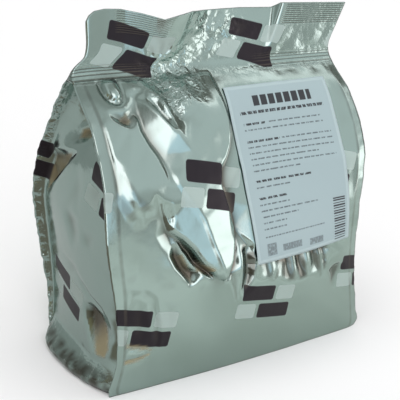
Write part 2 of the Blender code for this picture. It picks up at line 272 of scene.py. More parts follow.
# The runs round the body, left to right from outside: name, the seals at their ends, the face of
# those seals, the way out along an axis, and the bulge of a panel.
RUNS = (
    ("front", "front_left", "front_right", 1, -1, FRONT_BULGE),
    ("right", "front_right", "back_right", -1, 1, None),
    ("back", "back_left", "back_right", 1, 1, BACK_BULGE),
    ("left", "back_left", "front_left", -1, -1, None),
)


def base_body():
    """The front, right, back and left runs of the filled body, as grids of points."""
    height = BODY_ROWS * MM
    at = corner_points(height)
    grids = {}
    for name, start, end, face, outward, table in RUNS:
        first, last = (corner_strip(n, at[n], height, face) for n in (start, end))
        ends = first[:, 0], last[:, 0], height, outward
        middle = panel_run(*ends, table) if table else side_run(*ends)
        grids[name] = upright(np.concatenate([first[:, ::-1], middle, last], 1), height)
    return grids


def base_seal(run, face):
    """One face of the top seal over the last row of a front or back run."""
    last = run[-1, :, 0]
    share = (last - last[0]) / (last[-1] - last[0])
    row = (SEAL_ROWS / SEAL_RISE)[:, None]
    left, right = smooth(SEAL_LEFT_X, row), smooth(SEAL_RIGHT_X, row)
    x = left + (right - left) * share
    place = SEAL_LEFT_X[-1][1] + (SEAL_RIGHT_X[-1][1] - SEAL_LEFT_X[-1][1]) * share[None, :]
    y = straight(SEAL_TOP_Y, place) * row**SEAL_LEAN - face * TOP_SEAL_THICKNESS / 2
    z = NECK + (straight(SEAL_TOP_Z, place) - NECK) * row
    return np.stack([x, y, z], -1)


def soften(grid, times, rows):
    """Averages the points of some rows with their neighbours up and down, a number of times."""
    for _ in range(times):
        padded = np.concatenate([grid[:1], grid, grid[-1:]])
        mean = (padded[:-2] + 2 * padded[1:-1] + padded[2:]) / 4
        grid = grid.copy()
        grid[rows] = mean[rows]
    return grid


def normals(grid):
    """Unit vectors across the surface of a grid whose columns run left to right and rows run up."""
    turned = np.cross(np.gradient(grid, axis=1), np.gradient(grid, axis=0))
    return turned / np.maximum(np.linalg.norm(turned, axis=-1, keepdims=True), 1e-12)


# Folds and crumples.


def twice_area(a, b, c):
    """Twice the area of a triangle, above 0 where its corners run counterclockwise."""
    return (b[0] - a[0]) * (c[1] - a[1]) - (c[0] - a[0]) * (b[1] - a[1])


def shares(at, a, b, c):
    """How much of each of three corners a place takes: three shares that add up to 1."""
    whole = twice_area(a, b, c)
    wb, wc = twice_area(a, at, c) / whole, twice_area(a, b, at) / whole
    return 1 - wb - wc, wb, wc


# Slack in the tests of the facets: for a facet with no area, round its box, and at its edges.
NO_AREA = 1e-9
BOX_SLACK = 1e-6
EDGE_SLACK = 1e-4


def facets(columns, rows, points, creases=()):
    """Depths over a grid, as flat facets between (p, t, depth) points, with given creases kept."""
    flat = [Vector((p, t)) for p, t, _ in points]
    found, _, faces, origins, _, _ = delaunay_2d_cdt(flat, list(creases), [], 0, 1e-5)
    found = [tuple(place) for place in found]
    depths = [np.mean([points[k][2] for k in o]) if o else 0.0 for o in origins]
    field = np.zeros((len(rows), len(columns)))
    for face in faces:
        corners = [found[k] for k in face]
        (c0, c1), (r0, r1) = (
            np.searchsorted(places, (min(ends) - BOX_SLACK, max(ends) + BOX_SLACK))
            for places, ends in zip((columns, rows), zip(*corners))
        )
        if abs(twice_area(*corners)) < NO_AREA or c0 == c1 or r0 == r1:
            continue
        wa, wb, wc = shares((columns[None, c0:c1], rows[r0:r1, None]), *corners)
        within = (wa > -EDGE_SLACK) & (wb > -EDGE_SLACK) & (wc > -EDGE_SLACK)
        value = wa * depths[face[0]] + wb * depths[face[1]] + wc * depths[face[2]]
        field[r0:r1, c0:c1] = np.where(within, value, field[r0:r1, c0:c1])
    return field


def crumple(columns, rows, seed, size, stretch=1.0):
    """Random facets of about that size, with depths from -1 to 1. Stretch makes them taller."""
    chance = np.random.default_rng(seed)
    tall = size * stretch
    points = []
    for i, p in enumerate(np.arange(columns[0] - size, columns[-1] + 2 * size, size)):
        for t in np.arange(rows[0] - tall, rows[-1] + 2 * tall, tall) + (i % 2) * tall / 2:
            jitter = chance.uniform(-0.42, 0.42, 2)
            points.append((p + jitter[0] * size, t + jitter[1] * tall, chance.uniform(-1, 1)))
    return facets(columns, rows, points)


def with_crumples(field, columns, rows, layers):
    """Depths with random crumples added: rows of (where, then (depth, seed, size, stretch) of each)."""
    for where, *crumples in layers:
        field = field + where * sum(depth * crumple(columns, rows, *shape) for depth, *shape in crumples)
    return field


def blur(field, times):
    """Rounds the creases of a field of depths."""
    for _ in range(times):
        wide = np.pad(field, 1, mode="edge")
        field = (wide[:-2, 1:-1] + 2 * wide[1:-1, 1:-1] + wide[2:, 1:-1]) / 4
        wide = np.pad(field, 1, mode="edge")
        field = (wide[1:-1, :-2] + 2 * wide[1:-1, 1:-1] + wide[1:-1, 2:]) / 4
    return field


def inside(columns, rows, corners, soft=0.7):
    """1 inside a convex shape whose corners run counterclockwise, and 0 outside it."""
    at = columns[None, :], rows[:, None]
    sides = zip(corners, (*corners[1:], corners[0]))
    room = np.minimum.reduce([twice_area(a, b, at) / math.dist(a, b) for a, b in sides])
    return ease(-soft, soft, room)


def flattened(columns, rows, corners, swell):
    """What takes a swelling surface to the flat plane through three of its points, inside them."""
    at = columns[None, :], rows[:, None]
    weights = shares(at, *corners)
    plane = sum(w * swell(p, t) for w, (p, t, _) in zip(weights, corners))
    return ease(0, 0.08, np.minimum.reduce(weights)) * (plane - swell(*at))


def spot(columns, rows, p, t, wide, tall):
    """A round soft patch, 1 at its middle and 0 past its edge."""
    away = np.hypot((columns[None, :] - p) / wide, (rows[:, None] - t) / tall)
    return 1 - ease(0.35, 1.0, away)


class Folds:
    """Points and creases of a relief, as (p, t, depth) in millimetres, outward positive."""

    def __init__(self):
        self.points = []
        self.creases = []

    def add(self, *points):
        self.points += points

    def flat(self, columns, rows):
        """Points at depth 0, at every crossing of these columns and rows."""
        self.add(*[(p, t, 0) for p in columns for t in rows])

    def crease(self, *points):
        first = len(self.points)
        self.points += points
        self.creases += [(first + i, first + i + 1) for i in range(len(points) - 1)]

    def ledge(self, shift, *points):
        """A crease with a drop beside it: points are (p, t, depth, depth beyond the drop)."""
        self.crease(*[(p, t, high) for p, t, high, _ in points])
        self.crease(*[(p + shift[0], t + shift[1], low) for p, t, _, low in points])

    def field(self, columns, rows):
        return facets(columns, rows, self.points, self.creases)


# The folds of the front, in rows of (p, t, depth): each row is a crease.
FRONT_CREASES = (
    # Upper left: the long ridge under a broad flat facet by the seal.
    ((-98.6, 178, 0.8), (-98.4, 162, 1.2), (-90.6, 152, 3), (-81.5, 145, 4), (-75, 139, 4.4),
     (-69.5, 134.6, 4.2)),
    # The lower edge of the blue facet below that ridge.
    ((-95.2, 152.4, 2.4), (-89.6, 144, 3.3), (-86.6, 138.6, 3.7), (-80, 132.4, 4), (-75.6, 129.6, 2.8)),
    # The bright sliver between that facet and the corner seal: its upper edge and its lower one.
    ((-97.4, 156, 1.2), (-93.8, 149.4, 2.4), (-91.4, 143, 3.2), (-89.4, 137.6, 3.4), (-85.6, 130.6, 3.1),
     (-83, 126.4, 1.8)),
    ((-99, 150, 0), (-97.6, 143, 0.6), (-93.6, 137, 1.6), (-88.8, 130, 2), (-86.4, 126.6, 1.2)),
    # The upper edge of the facet, and the pocket.
    ((-97, 186.4, 0.4), (-93.6, 184.6, 1.2), (-81, 183.6, 1.6), (-73.6, 189.4, 1)),
    ((-94.6, 183, 1), (-92, 180.6, 1.6), (-87, 177, 2), (-81.6, 174.8, 2), (-76.4, 177, 1.4)),
    # The right edge of the facet, the groove beside it and the crescent that rises to a ridge.
    ((-74.9, 178, 1.4), (-75.2, 172.6, 1.8), (-72.8, 164.6, 2.2), (-68.8, 157.4, 2.6), (-66, 149.6, 3),
     (-64.6, 142, 3.4)),
    ((-71.4, 188.6, -0.4), (-73, 180, -1.6), (-73.2, 173, -1.6), (-70.8, 165.4, -1), (-66.8, 158, -0.2),
     (-64, 150, 1.2), (-62.6, 143, 2.4)),
    ((-65.5, 187.6, 2.4), (-59.6, 179.4, 5), (-55.6, 173, 6.2), (-51, 168, 6.2), (-47.4, 163, 5.4),
     (-43, 157.4, 4.4), (-36, 153, 3.4)),
    ((-62.4, 157, 1), (-60.6, 149, 2), (-59.4, 142, 3)),
    # Pleats that run down from the cinch.
    ((-61.6, 190, 1.6), (-59, 184.6, 0.6), (-57.4, 179.6, 0.4), (-54.4, 175, 1.4)),
    ((-55.6, 191, 3.4), (-53.4, 184, 4), (-51.4, 177.6, 3.2)),
    ((-49, 190, 0.8), (-47.4, 183.6, 0.6), (-45, 176.6, 1.6)),
    ((-43, 191, 2.6), (-41.6, 184, 2.4), (-41.4, 175.6, 2)),
    ((-36.4, 191.4, 4.2), (-36, 187, 3.6), (-38, 176, 2.4)),
    ((-61, 195.6, 1.8), (-69, 193.6, 1.5), (-77, 192.2, 0.5)),
    ((-63, 192.8, 0.2), (-70, 191.2, 0), (-75.4, 190.6, 0)),
    # A pinch at the foot of the tongue's left face.
    ((-69, 131.6, 3.4), (-66.4, 125.4, 1.8), (-63.4, 120.6, 0.6)),
    # The scalloped rim of the taut lower film, from the left pit to under the label.
    ((-66, 99, 0.3), (-63.4, 92, 0.5), (-58, 85, 0.6), (-53.6, 77.4, 0.4), (-51.4, 75.4, 0.4),
     (-49, 78.6, 0.8), (-44, 82.4, 0.9), (-39, 82.6, 0.8), (-33, 79.4, 0.7), (-26.6, 76.4, 0.8),
     (-21.6, 76.4, 0.8), (-18.6, 69, 0.7), (-16.4, 58, 0.6), (-14, 54.4, 0.4), (-11.6, 57, 0.8),
     (-5, 61.6, 0.9), (2, 67, 0.9), (6.4, 69, 0.7), (10.4, 66.4, 0.7), (13.5, 65.4, 0.5),
     (17.6, 66.2, 0.7), (23, 66.4, 0.9), (29, 64, 0.8), (34, 60, 0.7), (40, 62.4, 0.9), (47, 61.4, 0.8),
     (54, 59.6, 0.6), (60, 57.8, 0.6), (68, 57.8, 0.7), (75, 60.6, 0.7)),
    # The pits between the tongue and that rim.
    ((-61.6, 105, -1.6), (-59, 97, -5.4), (-55.4, 88, -6.4), (-52, 81, -3.8)),
    ((-58.4, 106.4, 0.2), (-53.4, 97, -0.8), (-48.6, 89.6, -0.4), (-42, 84.4, 0)),
    # The funnel between the tongue and the label: a lit ridge, and a dark groove that narrows to its tip.
    ((-19.2, 80.6, -1.8), (-17, 70, -1), (-15.6, 60.6, -0.2)),
    ((-9.8, 96, -1.4), (-10.2, 85, -0.3), (-11.2, 74, 0.2), (-13, 63, 0.6), (-14.4, 58, 0.5)),
    ((-3.6, 94, -3.8), (-3.6, 84, -4.8), (-4.4, 76, -4.2), (-7.4, 69, -2.4), (-10.6, 64, -0.2)),
    ((3.4, 84, -1.4), (0.8, 75, -0.3), (-5, 67, 0.5), (-10.4, 61, 0.9), (-13.2, 57.6, 0.7)),
    # The smooth band beside the label, and the label's lower edge.
    ((1.5, 190, 0), (1.5, 170, 0), (1.5, 150, 0), (1.8, 120, 0), (2.2, 96, 0), (3, 86, 0)),
    ((3.6, 86.4, 0), (14, 86.2, 0), (26, 85.8, 0), (38, 85.6, 0), (48, 85.2, 0), (58, 84.8, 0),
     (68, 84.6, 0), (80, 84.2, 0), (96, 83.6, 0)),
    # A cone with a streaked grey left face and a bright right face.
    ((7.4, 83.2, -3.6), (8.6, 76, -1.6), (12, 70.6, 0.2), (15.4, 67.8, 0.6), (19, 68.8, 0.4),
     (23.6, 73, -1.8), (28.8, 82, -6.8)),
    ((18.6, 83.4, -3.6), (17.8, 76, -0.8), (16.2, 69.8, 1.3)),
    ((13.2, 83, -5.2), (13.6, 76, -2.8), (14.6, 71, 0)),
    # A dark hollow with an upright ridge in its middle.
    ((33.4, 83, -8), (33.6, 74, -5.8), (34.6, 65.4, -0.8)),
    ((40.2, 82.8, -4.4), (40, 73, -1.6), (39.6, 65, 0.8)),
    ((46.2, 82.6, -8), (46, 73, -5.6), (44, 64.8, -0.6)),
    ((29.4, 75, -3.6), (25, 68.4, 0.3)),
    ((53.4, 82.2, -3.4), (53, 72, -0.4), (52, 63.2, 0.9)),
    # A bright streak between two dents.
    ((61.2, 81.6, -6.6), (62.2, 71, -4.2), (64.8, 62.4, 0)),
    ((66.2, 82, -3.6), (66, 73.6, -0.4), (66.3, 64.6, 1.2)),
    ((70.8, 81.4, -6.2), (69.8, 72.6, -3.4), (67.6, 64, 0.5)),
    ((74.4, 80.8, -1.8), (73.2, 70, 0.4), (71.6, 63, 0.9)),
    # A lens near the right edge.
    ((76.6, 62.6, 0.6), (83, 65.6, 0.7), (91.6, 63.4, 0.5)),
    ((77.6, 60.4, -2.2), (83.4, 62.8, -2.4), (90.4, 61, -0.8), (86, 56, -0.6), (81, 52.6, -1.2),
     (78.4, 47.4, -0.2)),
    ((75.8, 60, 0.8), (76.8, 50, 0.8), (78, 44.6, 0.2)),
    # Lower left: an upright crease and small dents beside the seal.
    ((-79.6, 73, 0.2), (-78.6, 62, -0.5), (-76.8, 50, -0.7), (-76.6, 40, -0.6), (-78, 33.4, 0)),
    ((-77.4, 73, 0.8), (-76, 62, 1), (-74.4, 50, 1), (-74.4, 40, 0.8), (-75, 31, 0.2)),
    ((-84.6, 70, 0.2), (-83.6, 60, 0.9), (-81, 48, 0.8), (-79.6, 37, 0.4)),
    ((-96.6, 91.4, 0.2), (-93.4, 89.4, -0.5), (-89.6, 88, 0.1)),
    ((-96.4, 80, 0.2), (-94.6, 76.6, -0.6), (-91, 74.4, 0.1)),
    ((-86.6, 79, 0.1), (-84.6, 77.2, -0.5), (-82.6, 78, 0.2)),
    # A pinch at the lower left corner.
    ((-97.6, 40.4, 0.6), (-88, 38.4, 0.8), (-79.6, 33.6, 0.4)),
    ((-96.6, 37.4, -1), (-87, 35.4, -1.6), (-80.6, 32.8, -0.4)),
    ((-97.4, 32, 1.6), (-88, 31.8, 1.8), (-81.4, 31.8, 0.6)),
    ((-96.6, 27.4, -0.8), (-88, 28.2, -1.4), (-82, 30.6, -0.2)),
    ((-97.6, 23.6, 0.8), (-88, 25.4, 0.7), (-79, 29.4, 0.2)),
)
FRONT_POINTS = (
    (-98.4, 133, 0.1), (-94.6, 125, 0.1), (-89.6, 119, 0.1), (-82, 119, 0.2), (-77, 123.6, 0.6),
    (-72.6, 124, 0.6), (-88, 181.6, -1.2), (-83, 179.2, -2.6), (-77.4, 182.6, -1), (-54, 157, 2.6),
    (-50, 150, 3), (-27.4, 80.8, 6.6), (-44, 141, 3.8), (-34, 143, 3), (-62, 131, 4.4), (-60.6, 122, 3),
    (-84, 112, 0), (-74, 112, 0.2), (-70, 104, 0.2), (-88, 96, 0), (-74, 90, 0), (-90, 75, 0),
    (-48.4, 85.6, -4), (-46, 92.4, -7), (-41.6, 87.4, -6.4), (-37, 84, -3.6), (-14.4, 86.6, -3.2),
    (0, 95, -3.2), (3.6, 90, -2.4), (-30, 184, 2.6), (-29, 172, 3), (-20, 180, 2), (-12, 184, 0.8),
    (-18, 168, 1.8), (-9, 174, 0.6), (-8, 162, 0.4), (-18, 158, 0.8), (-28, 160, 2.4), (-32, 150, 2.4),
    (-20, 148, 0.6), (-40, 149, 3.4), (94, 56, 0.3), (88, 74, 0.4), (-90, 62, -0.5), (-90, 48, -0.6),
    (-68, 60, 0), (-67, 42, 0),
)
# Taut film well below the rim, as (p, t), and how far it stands out.
TAUT = ((-60, 66), (-45, 68), (-30, 66), (-24, 56), (0, 52), (20, 54), (40, 50), (60, 48), (72, 48),
        (-62, 78))
TAUT_DEPTH = 0.15
# The edges of the tongue, the big fold that hangs from the neck. Each is a crease with a drop beside
# it: first how far away its low side lies, then rows of (p, t, depth, depth of the low side).
TONGUE = (
    ((-1.5, -0.9), (-57, 141, 4.2, 3.6), (-50.5, 131.5, 5.2, 4.4), (-43, 122, 6, 5),
     (-39, 116, 6.4, 5.2), (-35.4, 106, 6.8, 5.6), (-31.4, 94, 7.2, 6), (-28.6, 85, 7.2, 6.2)),
    ((-1.4, -1.8), (-70.5, 133.2, 3.6, 2), (-66.4, 124, 2.8, -0.2), (-62.6, 115, 3, -2.2),
     (-54, 107.5, 3.4, -4.6), (-48, 101, 4, -5.6), (-41.9, 91, 4.6, -5.6), (-34.7, 83.4, 5.4, -3.6)),
    ((1.7, -0.8), (-22, 137, 2, -0.6), (-17, 127, 1.8, -2), (-14.8, 119.5, 1.8, -2.8),
     (-13.4, 110.5, 2, -3.4), (-14.4, 100, 2.4, -4), (-19, 89, 4.2, -4.4), (-25, 81.2, 5.8, -2.8)),
)


def front_folds():
    """The slack folds of the front: left of the label, and scalloped under it where the powder ends."""
    folds = Folds()
    folds.flat((-100,), (0, 30, 60, 90, 112, 120, 128, 136, 144, 152, 160, 170, 180, 190))
    folds.flat((100,), range(0, 246, 20))
    for t in (0, 25, 42):
        folds.flat(range(-80, 90, 20), (t,))
    folds.flat(range(-100, 101, 20), (197, 206, 245))
    folds.flat((20, 45, 70, 88), (95, 130, 160, 190))
    for shift, *points in TONGUE:
        folds.ledge(shift, *points)
    for points in FRONT_CREASES:
        folds.crease(*points)
    folds.add(*FRONT_POINTS)
    folds.add(*[(p, t, TAUT_DEPTH) for p, t in TAUT])
    return folds


# How far the slack film stands out by height, and where it ends beside the label by height.
BILLOW_RISE = ((100, 0), (114, 1.6), (130, 4.2), (150, 5.6), (170, 4.6), (188, 2.6), (197, 1.6), (203, 0))
BILLOW_EDGE = ((100, -15), (120, -15), (136, -21), (144, -19), (151, -13), (157, -9), (164, -6.2),
               (172, -4.6), (200, -4.6))


def billow(columns, rows):
    """The slack film left of the label, standing out past the straight panel that the label holds."""
    rise = straight(BILLOW_RISE, rows)[:, None]
    edge = straight(BILLOW_EDGE, rows)[:, None]
    share = np.clip((columns[None, :] + 100) / 75, 0, 1)
    return rise * share * (1 - ease(edge - 3, edge + 0.6, columns[None, :]))


# The folds of the left side, across from the back seal at -50 to the front seal at 50.
LEAF = ((-46.7, 139.7, -4.6), (-9, 152, 2.2), (-46.2, 111.3, -0.3))
LEFT_CREASES = (
    # A flat triangle by the back seal that leans in, and the ledge over it.
    LEAF,
    ((-47.4, 111.3, -0.3), (-47.4, 139.7, -4.6)),
    ((-44.6, 106.6, 0.6), (-28, 125, 1.6), (-5.4, 150, 2.4), (14, 149, 2.2), (28, 143, 1)),
    ((-47, 143, -0.4), (-32, 149, 1), (-9, 155.6, 2), (8, 156.6, 1.4)),
    ((-24, 158, -0.4), (-12, 165, -1.6), (-3, 168, -0.6)),
    ((-22, 165, 0.6), (-12, 171, 0.8), (0, 174, 0.8)),
    ((24, 163, 0), (30, 152, 1.2), (36, 141, 0.6)),
    ((33, 165, 0), (38, 152, -1), (43, 142, -0.6)),
    # Slits in the taut middle.
    ((-8, 114, 0.1), (-3.6, 108, -1.5), (0.4, 102, -1.2), (6, 96, 0)),
    ((-11, 110, 0.5), (-6, 103, 0.5)),
    ((12, 104, 0.2), (17, 100.6, -1), (23, 96.4, 0.2)),
    # A deep trough that runs down to the foot of the front seal, its floor leaning in.
    ((-2, 78, 0.4), (8, 69.4, 0.9), (18, 63.4, 1.2), (29, 60, 1.4), (37, 53, 1.6), (43, 42, 1.8)),
    ((0, 75, -0.4), (9, 67, -0.6), (18.6, 61, -0.7), (28, 57.6, -0.8), (35, 51.6, -0.6), (40.6, 42, 0)),
    ((3, 70, 0.4), (12, 61, 0.8), (18.6, 58, 0.9), (27, 55, 0.8), (33, 50, 0.4)),
    ((12, 52.6, 0.8), (10.6, 46.6, 1), (14, 38, 1.4), (19, 29, 2), (24, 21, 2.4), (31, 13, 1.6)),
    ((15.6, 50, -4.2), (14.4, 45.6, -4.6), (17.2, 38, -2.6), (21.6, 30, -0.4), (26.4, 22.4, 1.6)),
    ((15.6, 50, -4.2), (20, 51.4, -4), (26.4, 50.4, -3.2), (32.6, 46, -1.6), (36, 38, 0.4), (38, 30, 2.2)),
    ((38.6, 43, 1), (41, 35, 2.6), (42.4, 27, 3.2)),
    ((46, 34, 1.4), (45, 26, 2.4), (44, 14, 1.6)),
)
LEFT_POINTS = (
    (-10, 132, 1.6), (10, 134, 1.4), (-24, 112, 0.6), (0, 116, 0.6), (24, 122, 0.6), (-30, 172, 0.2),
    (10, 172, 0.4), (-34, 184, 0), (14, 160, 0.6), (10, 112, 0.5), (12, 96, 0.4), (30, 110, 0.3),
    (0, 130, 0.4), (25, 135, 0.2), (0, 88, 0.5), (0, 50, 0.4), (-25, 80, 0.3), (-25, 50, 0.3),
    (0, 34, 0.4), (-28, 25, 0.2), (5, 22, 0.4),
)
# The folds of the right side, from the front seal at -50 to the back seal at 50.
RIGHT_CREASES = (
    ((45, 116, 1.2), (30, 130, 1.8), (10, 146, 1), (-6, 157, 0.2)),
    ((46, 146, -2.8), (28, 151, -2.2), (4, 157, -0.8)),
    ((46, 149, 0.6), (20, 157, 0.8), (-8, 163, 0.8), (-34, 160, 0.6)),
    ((-46, 126, 0.6), (-30, 116, 1.4), (-8, 108, 0.6), (10, 104, 0)),
    ((-46, 118, -0.8), (-30, 109, -1), (-10, 102, -0.3)),
    ((-44, 58, 0.8), (-30, 46, 1.4), (-18, 32, 1.2), (-12, 20, 0.4)),
    ((-45, 48, -0.6), (-34, 38, -1.4), (-24, 26, -1), (-20, 16, 0)),
)
RIGHT_POINTS = (
    (38, 134, -1.2), (20, 168, -1.6), (0, 174, -1), (-24, 170, 0.8), (20, 80, 0.4), (20, 40, 0.3),
    (-20, 80, 0.3), (0, 60, 0.5), (30, 22, 0.3),
)


def side_folds(creases, points):
    """The folds of a side, held flat at its two seals and along its foot."""
    folds = Folds()
    folds.flat((-50, 50), range(0, 200, 15))
    folds.flat((-30, -10, 10, 30), (0, 12))
    for crease in creases:
        folds.crease(*crease)
    folds.add(*points)
    return folds


def ribs(columns, rows, low, high, start, end):
    """Level crimps between two heights, over a stretch of columns, as depths from -1 to 1."""
    level = band(rows, (low - 0.6, low + 0.4), (high - 0.4, high + 0.6))
    stretch = band(columns, (start - 3, start + 1), (end - 1, end + 3))
    return (np.sin(2 * math.pi * (rows - low) / TOP_RIB) * level)[:, None] * stretch[None, :]


# Where the label lies, as its left, right, low and high edges, and the soft edge round it.
LABEL_PATCH = (-1.0, 92.0, 86.0, 193.0)
LABEL_SOFT = 5.0
TOP_RIB = 1.4
NECK_RIB = 1.5


def label_patch(columns, rows):
    """1 under the label and 0 away from it."""
    left, right, low, high = LABEL_PATCH
    wide = band(columns, (left - LABEL_SOFT, left), (right, right + LABEL_SOFT))
    tall = band(rows, (low - LABEL_SOFT, low), (high, high + LABEL_SOFT))
    return tall[:, None] * wide[None, :]


def dimple(columns, rows, p, t, radius, depth):
    """A round knob, steep at its rim, with a groove round it."""
    away = np.hypot(columns[None, :] - p, rows[:, None] - t) / radius
    groove = np.clip(1 - np.abs(away - 1.12) / 0.25, 0, 1)
    return depth * (np.sqrt(np.clip(1 - away**2, 0, 1)) - 0.45 * groove)


def front_relief(columns, rows):
    """Depths of the front run, body and top seal together."""
    across, up = columns[None, :], rows[:, None]
    clear = 1 - label_patch(columns, rows)
    field = blur(front_folds().field(columns, rows), 1) + billow(columns, rows)
    field = field + dimple(columns, rows, -83.5, 195.4, 6.0, 4.0)
    return with_crumples(field, columns, rows, (
        # The gathered neck over the cinch, the funnel below it, and the collar all along the neck.
        (clear * spot(columns, rows, -38, 198, 30, 22), (1.1, 5, 7.5, 1.4), (0.7, 6, 3.4, 1.3)),
        (clear * spot(columns, rows, -44, 188, 10, 16), (0.7, 10, 3.2, 1.6)),
        (clear * band(up, (190, 198), (206, 216)), (0.5, 3, 8, 1.2)),
        # The strip right of the label, and the taut film under it.
        (ease(86, 92, across) * band(up, (100, 120), (180, 196)), (0.6, 7, 9, 1.6)),
        (1 - ease(50, 90, up), (0.3, 9, 24, 1.4)),
    ))


# The pleats over the cinch: where each starts and ends, and its depth.
FAN = (
    (-49, 205.4, -72, 210.6, 0.7), (-48.6, 206.4, -70, 215, -0.9), (-48, 207.2, -68, 219, 0.8),
    (-47.4, 208, -64.6, 222.6, -1.1), (-46.6, 208.6, -61, 225, 0.8), (-45.8, 209.2, -56.6, 227.4, -1.1),
    (-45, 209.6, -52.4, 229, 0.9), (-44, 210, -47.6, 230, -1), (-43, 210.4, -42.6, 230.6, 0.8),
    (-42, 210, -37.4, 229, -0.7),
)


def fan_folds():
    """Pleats that fan out over the cinch, towards the left lobe of the top seal."""
    folds = Folds()
    folds.flat((-108, -96, -84, -20, 0, 40, 80, 108), (196, 212, 228, 244))
    folds.add((-70, 236, 0), (-56, 240, 0), (-40, 242, 0), (-70, 244, 0), (-44, 198, 0), (-80, 204, 0))
    for p0, t0, p1, t1, depth in FAN:
        folds.crease((p0, t0, depth * 0.4), ((p0 + p1) / 2, (t0 + t1) / 2, depth * 0.6), (p1, t1, 0))
    return folds


def seal_relief(columns, rows):
    """Depths of the top seal as a sheet, moved towards its front."""
    across, up = columns[None, :], rows[:, None]
    field = with_crumples(fan_folds().field(columns, rows), columns, rows, (
        # The gathered part over the cinch, the middle, the right end, and a slow wave all along.
        (spot(columns, rows, -34, 208, 20, 18), (1.0, 21, 7, 1.2), (0.6, 22, 3.4)),
        (spot(columns, rows, -6, 228, 46, 22) * ease(-40, -30, across), (0.9, 26, 9), (0.55, 27, 3.8)),
        (ease(46, 56, across) * band(up, (206, 212), (226, 232)), (0.26, 23, 6, 1.4)),
        (1, (0.22, 25, 20)),
    ))
    field = blur(field, 1)
    field = field + 0.12 * ribs(columns, rows, 228.4, 242.4, -84, -50)
    return field + 0.10 * ribs(columns, rows, 231, 242.4, 52, 99)


def back_relief(columns, rows):
    """Depths of the back panel: like the front's slack, with no label to hold it flat."""
    up = rows[:, None]
    return blur(with_crumples(0, columns, rows, (
        (band(up, (60, 105), (196, 214)), (2.4, 31, 26, 1.5), (0.7, 32, 11, 1.3)),
        (band(up, (160, 190), (212, 226)), (1.4, 33, 11, 1.3), (0.5, 34, 5)),
        (1 - ease(50, 90, up), (0.3, 35, 28)),
    )), 2)


def side_relief(columns, rows, seed, folds):
    """Depths of a side, with finer crumples at its hem and under the top."""
    up = rows[:, None]
    return blur(with_crumples(folds.field(columns, rows), columns, rows, (
        (1 - ease(10, 14, up), (0.7, seed, 4.4, 0.8), (0.35, seed + 4, 2.6)),
        (ease(150, 180, up), (0.6, seed + 1, 14), (0.3, seed + 2, 6)),
        (1, (0.1, seed + 3, 20)),
    )), 1)


def held(columns, half, reach):
    """0 at the seals beside a panel and 1 away from them."""
    return ease(0, reach, half - np.abs(columns))[None, :]


def hollows(depth):
    """Where a relief falls into narrow creases and pits, from 0 to 1, as a mask for painted shade."""
    fall = blur(depth, 60) - blur(depth, 1)
    return np.clip(fall / 2.2, 0, 1) ** 1.3


# Where a painted reflection of warm shadow lies on the film: convex shapes in (p, t), counterclockwise.
WARM_LEFT = (
    ((-46.7, 139.7), (-46.2, 111.3), (-24, 139), (-20, 148)),
    ((15.4, 49), (17.4, 38), (22, 29), (27, 22), (36, 24), (38.5, 32), (36, 40), (31, 48), (24, 51)),
    ((-20, 159), (-6, 161), (-2, 166), (-10, 168), (-20, 165)),
)
WARM_FRONT = (
    ((-99, 41), (-99, 37.6), (-86, 34.4), (-79, 32.4), (-85, 37.4)),
    ((-99, 28.4), (-99, 25.4), (-88, 26.6), (-80, 30.8), (-88, 29.8)),
    ((-61, 98), (-56, 85), (-52, 78.4), (-49.6, 84), (-55, 98)),
    ((-48, 93), (-46.4, 86), (-38, 83.6), (-35, 86.6), (-41, 90)),
    ((-87.4, 180), (-82, 176.8), (-78.6, 179), (-81, 182.6)),
)
# Where the film is in deep shade: convex shapes in (p, t), counterclockwise, and how deep.
SHADE_FRONT = (
    (((-10.6, 64.4), (-3, 69.8), (2.4, 80), (3.4, 92), (-5.4, 92), (-6.4, 80)), 0.85),
    (((-14.6, 85), (-12.8, 84.6), (-6, 92.6), (3, 91), (2.4, 96.6), (-6, 98)), 0.8),
    (((-18.4, 74), (-16.4, 60), (-15, 60), (-14.6, 74), (-17.4, 84)), 0.35),
    (((-65.4, 99), (-63, 92), (-58, 84.6), (-53, 77), (-50.6, 80), (-54, 90), (-60, 101)), 0.6),
    (((7.6, 83), (8.8, 76), (12.2, 70.6), (15.4, 68), (17.2, 76), (17.8, 83.4)), 0.35),
    (((12, 83), (13, 73), (14.4, 69.6), (15.2, 74), (14.8, 83)), 0.7),
    (((14.6, 67.2), (22, 70.2), (29.6, 80), (30, 84), (27.8, 81), (21.4, 72.2)), 0.8),
    (((30, 84), (28.4, 78), (24, 70.6), (34, 63.6), (38.4, 63.2), (38.8, 84)), 0.8),
    (((42, 83), (41.6, 70), (43.6, 62.6), (50, 63), (51.4, 72), (49, 83)), 0.9),
    (((58.4, 83), (60.6, 70), (65.2, 60.8), (66, 70), (65.4, 83)), 0.85),
    (((70, 83), (69, 71), (66.8, 61.4), (71.4, 68), (73.4, 83)), 0.85),
    (((77, 61), (78, 47), (82, 52.6), (91, 60.4), (83.4, 63)), 0.75),
    (((-93.4, 148.4), (-90.6, 140.6), (-87.6, 135), (-86.8, 138.4), (-90, 144.4)), 0.5),
    (((-87.4, 134.6), (-84.6, 129.4), (-77, 128.8), (-80.4, 133), (-86.4, 138)), 0.5),
    (((-98.6, 141), (-98, 131), (-90, 124), (-87, 126), (-89.6, 129.6), (-94.4, 136.2)), 0.45),
    (((-94, 182.6), (-88, 177.6), (-81.6, 175.4), (-76, 178.4), (-74.6, 187), (-81.6, 183.4)), 0.5),
)


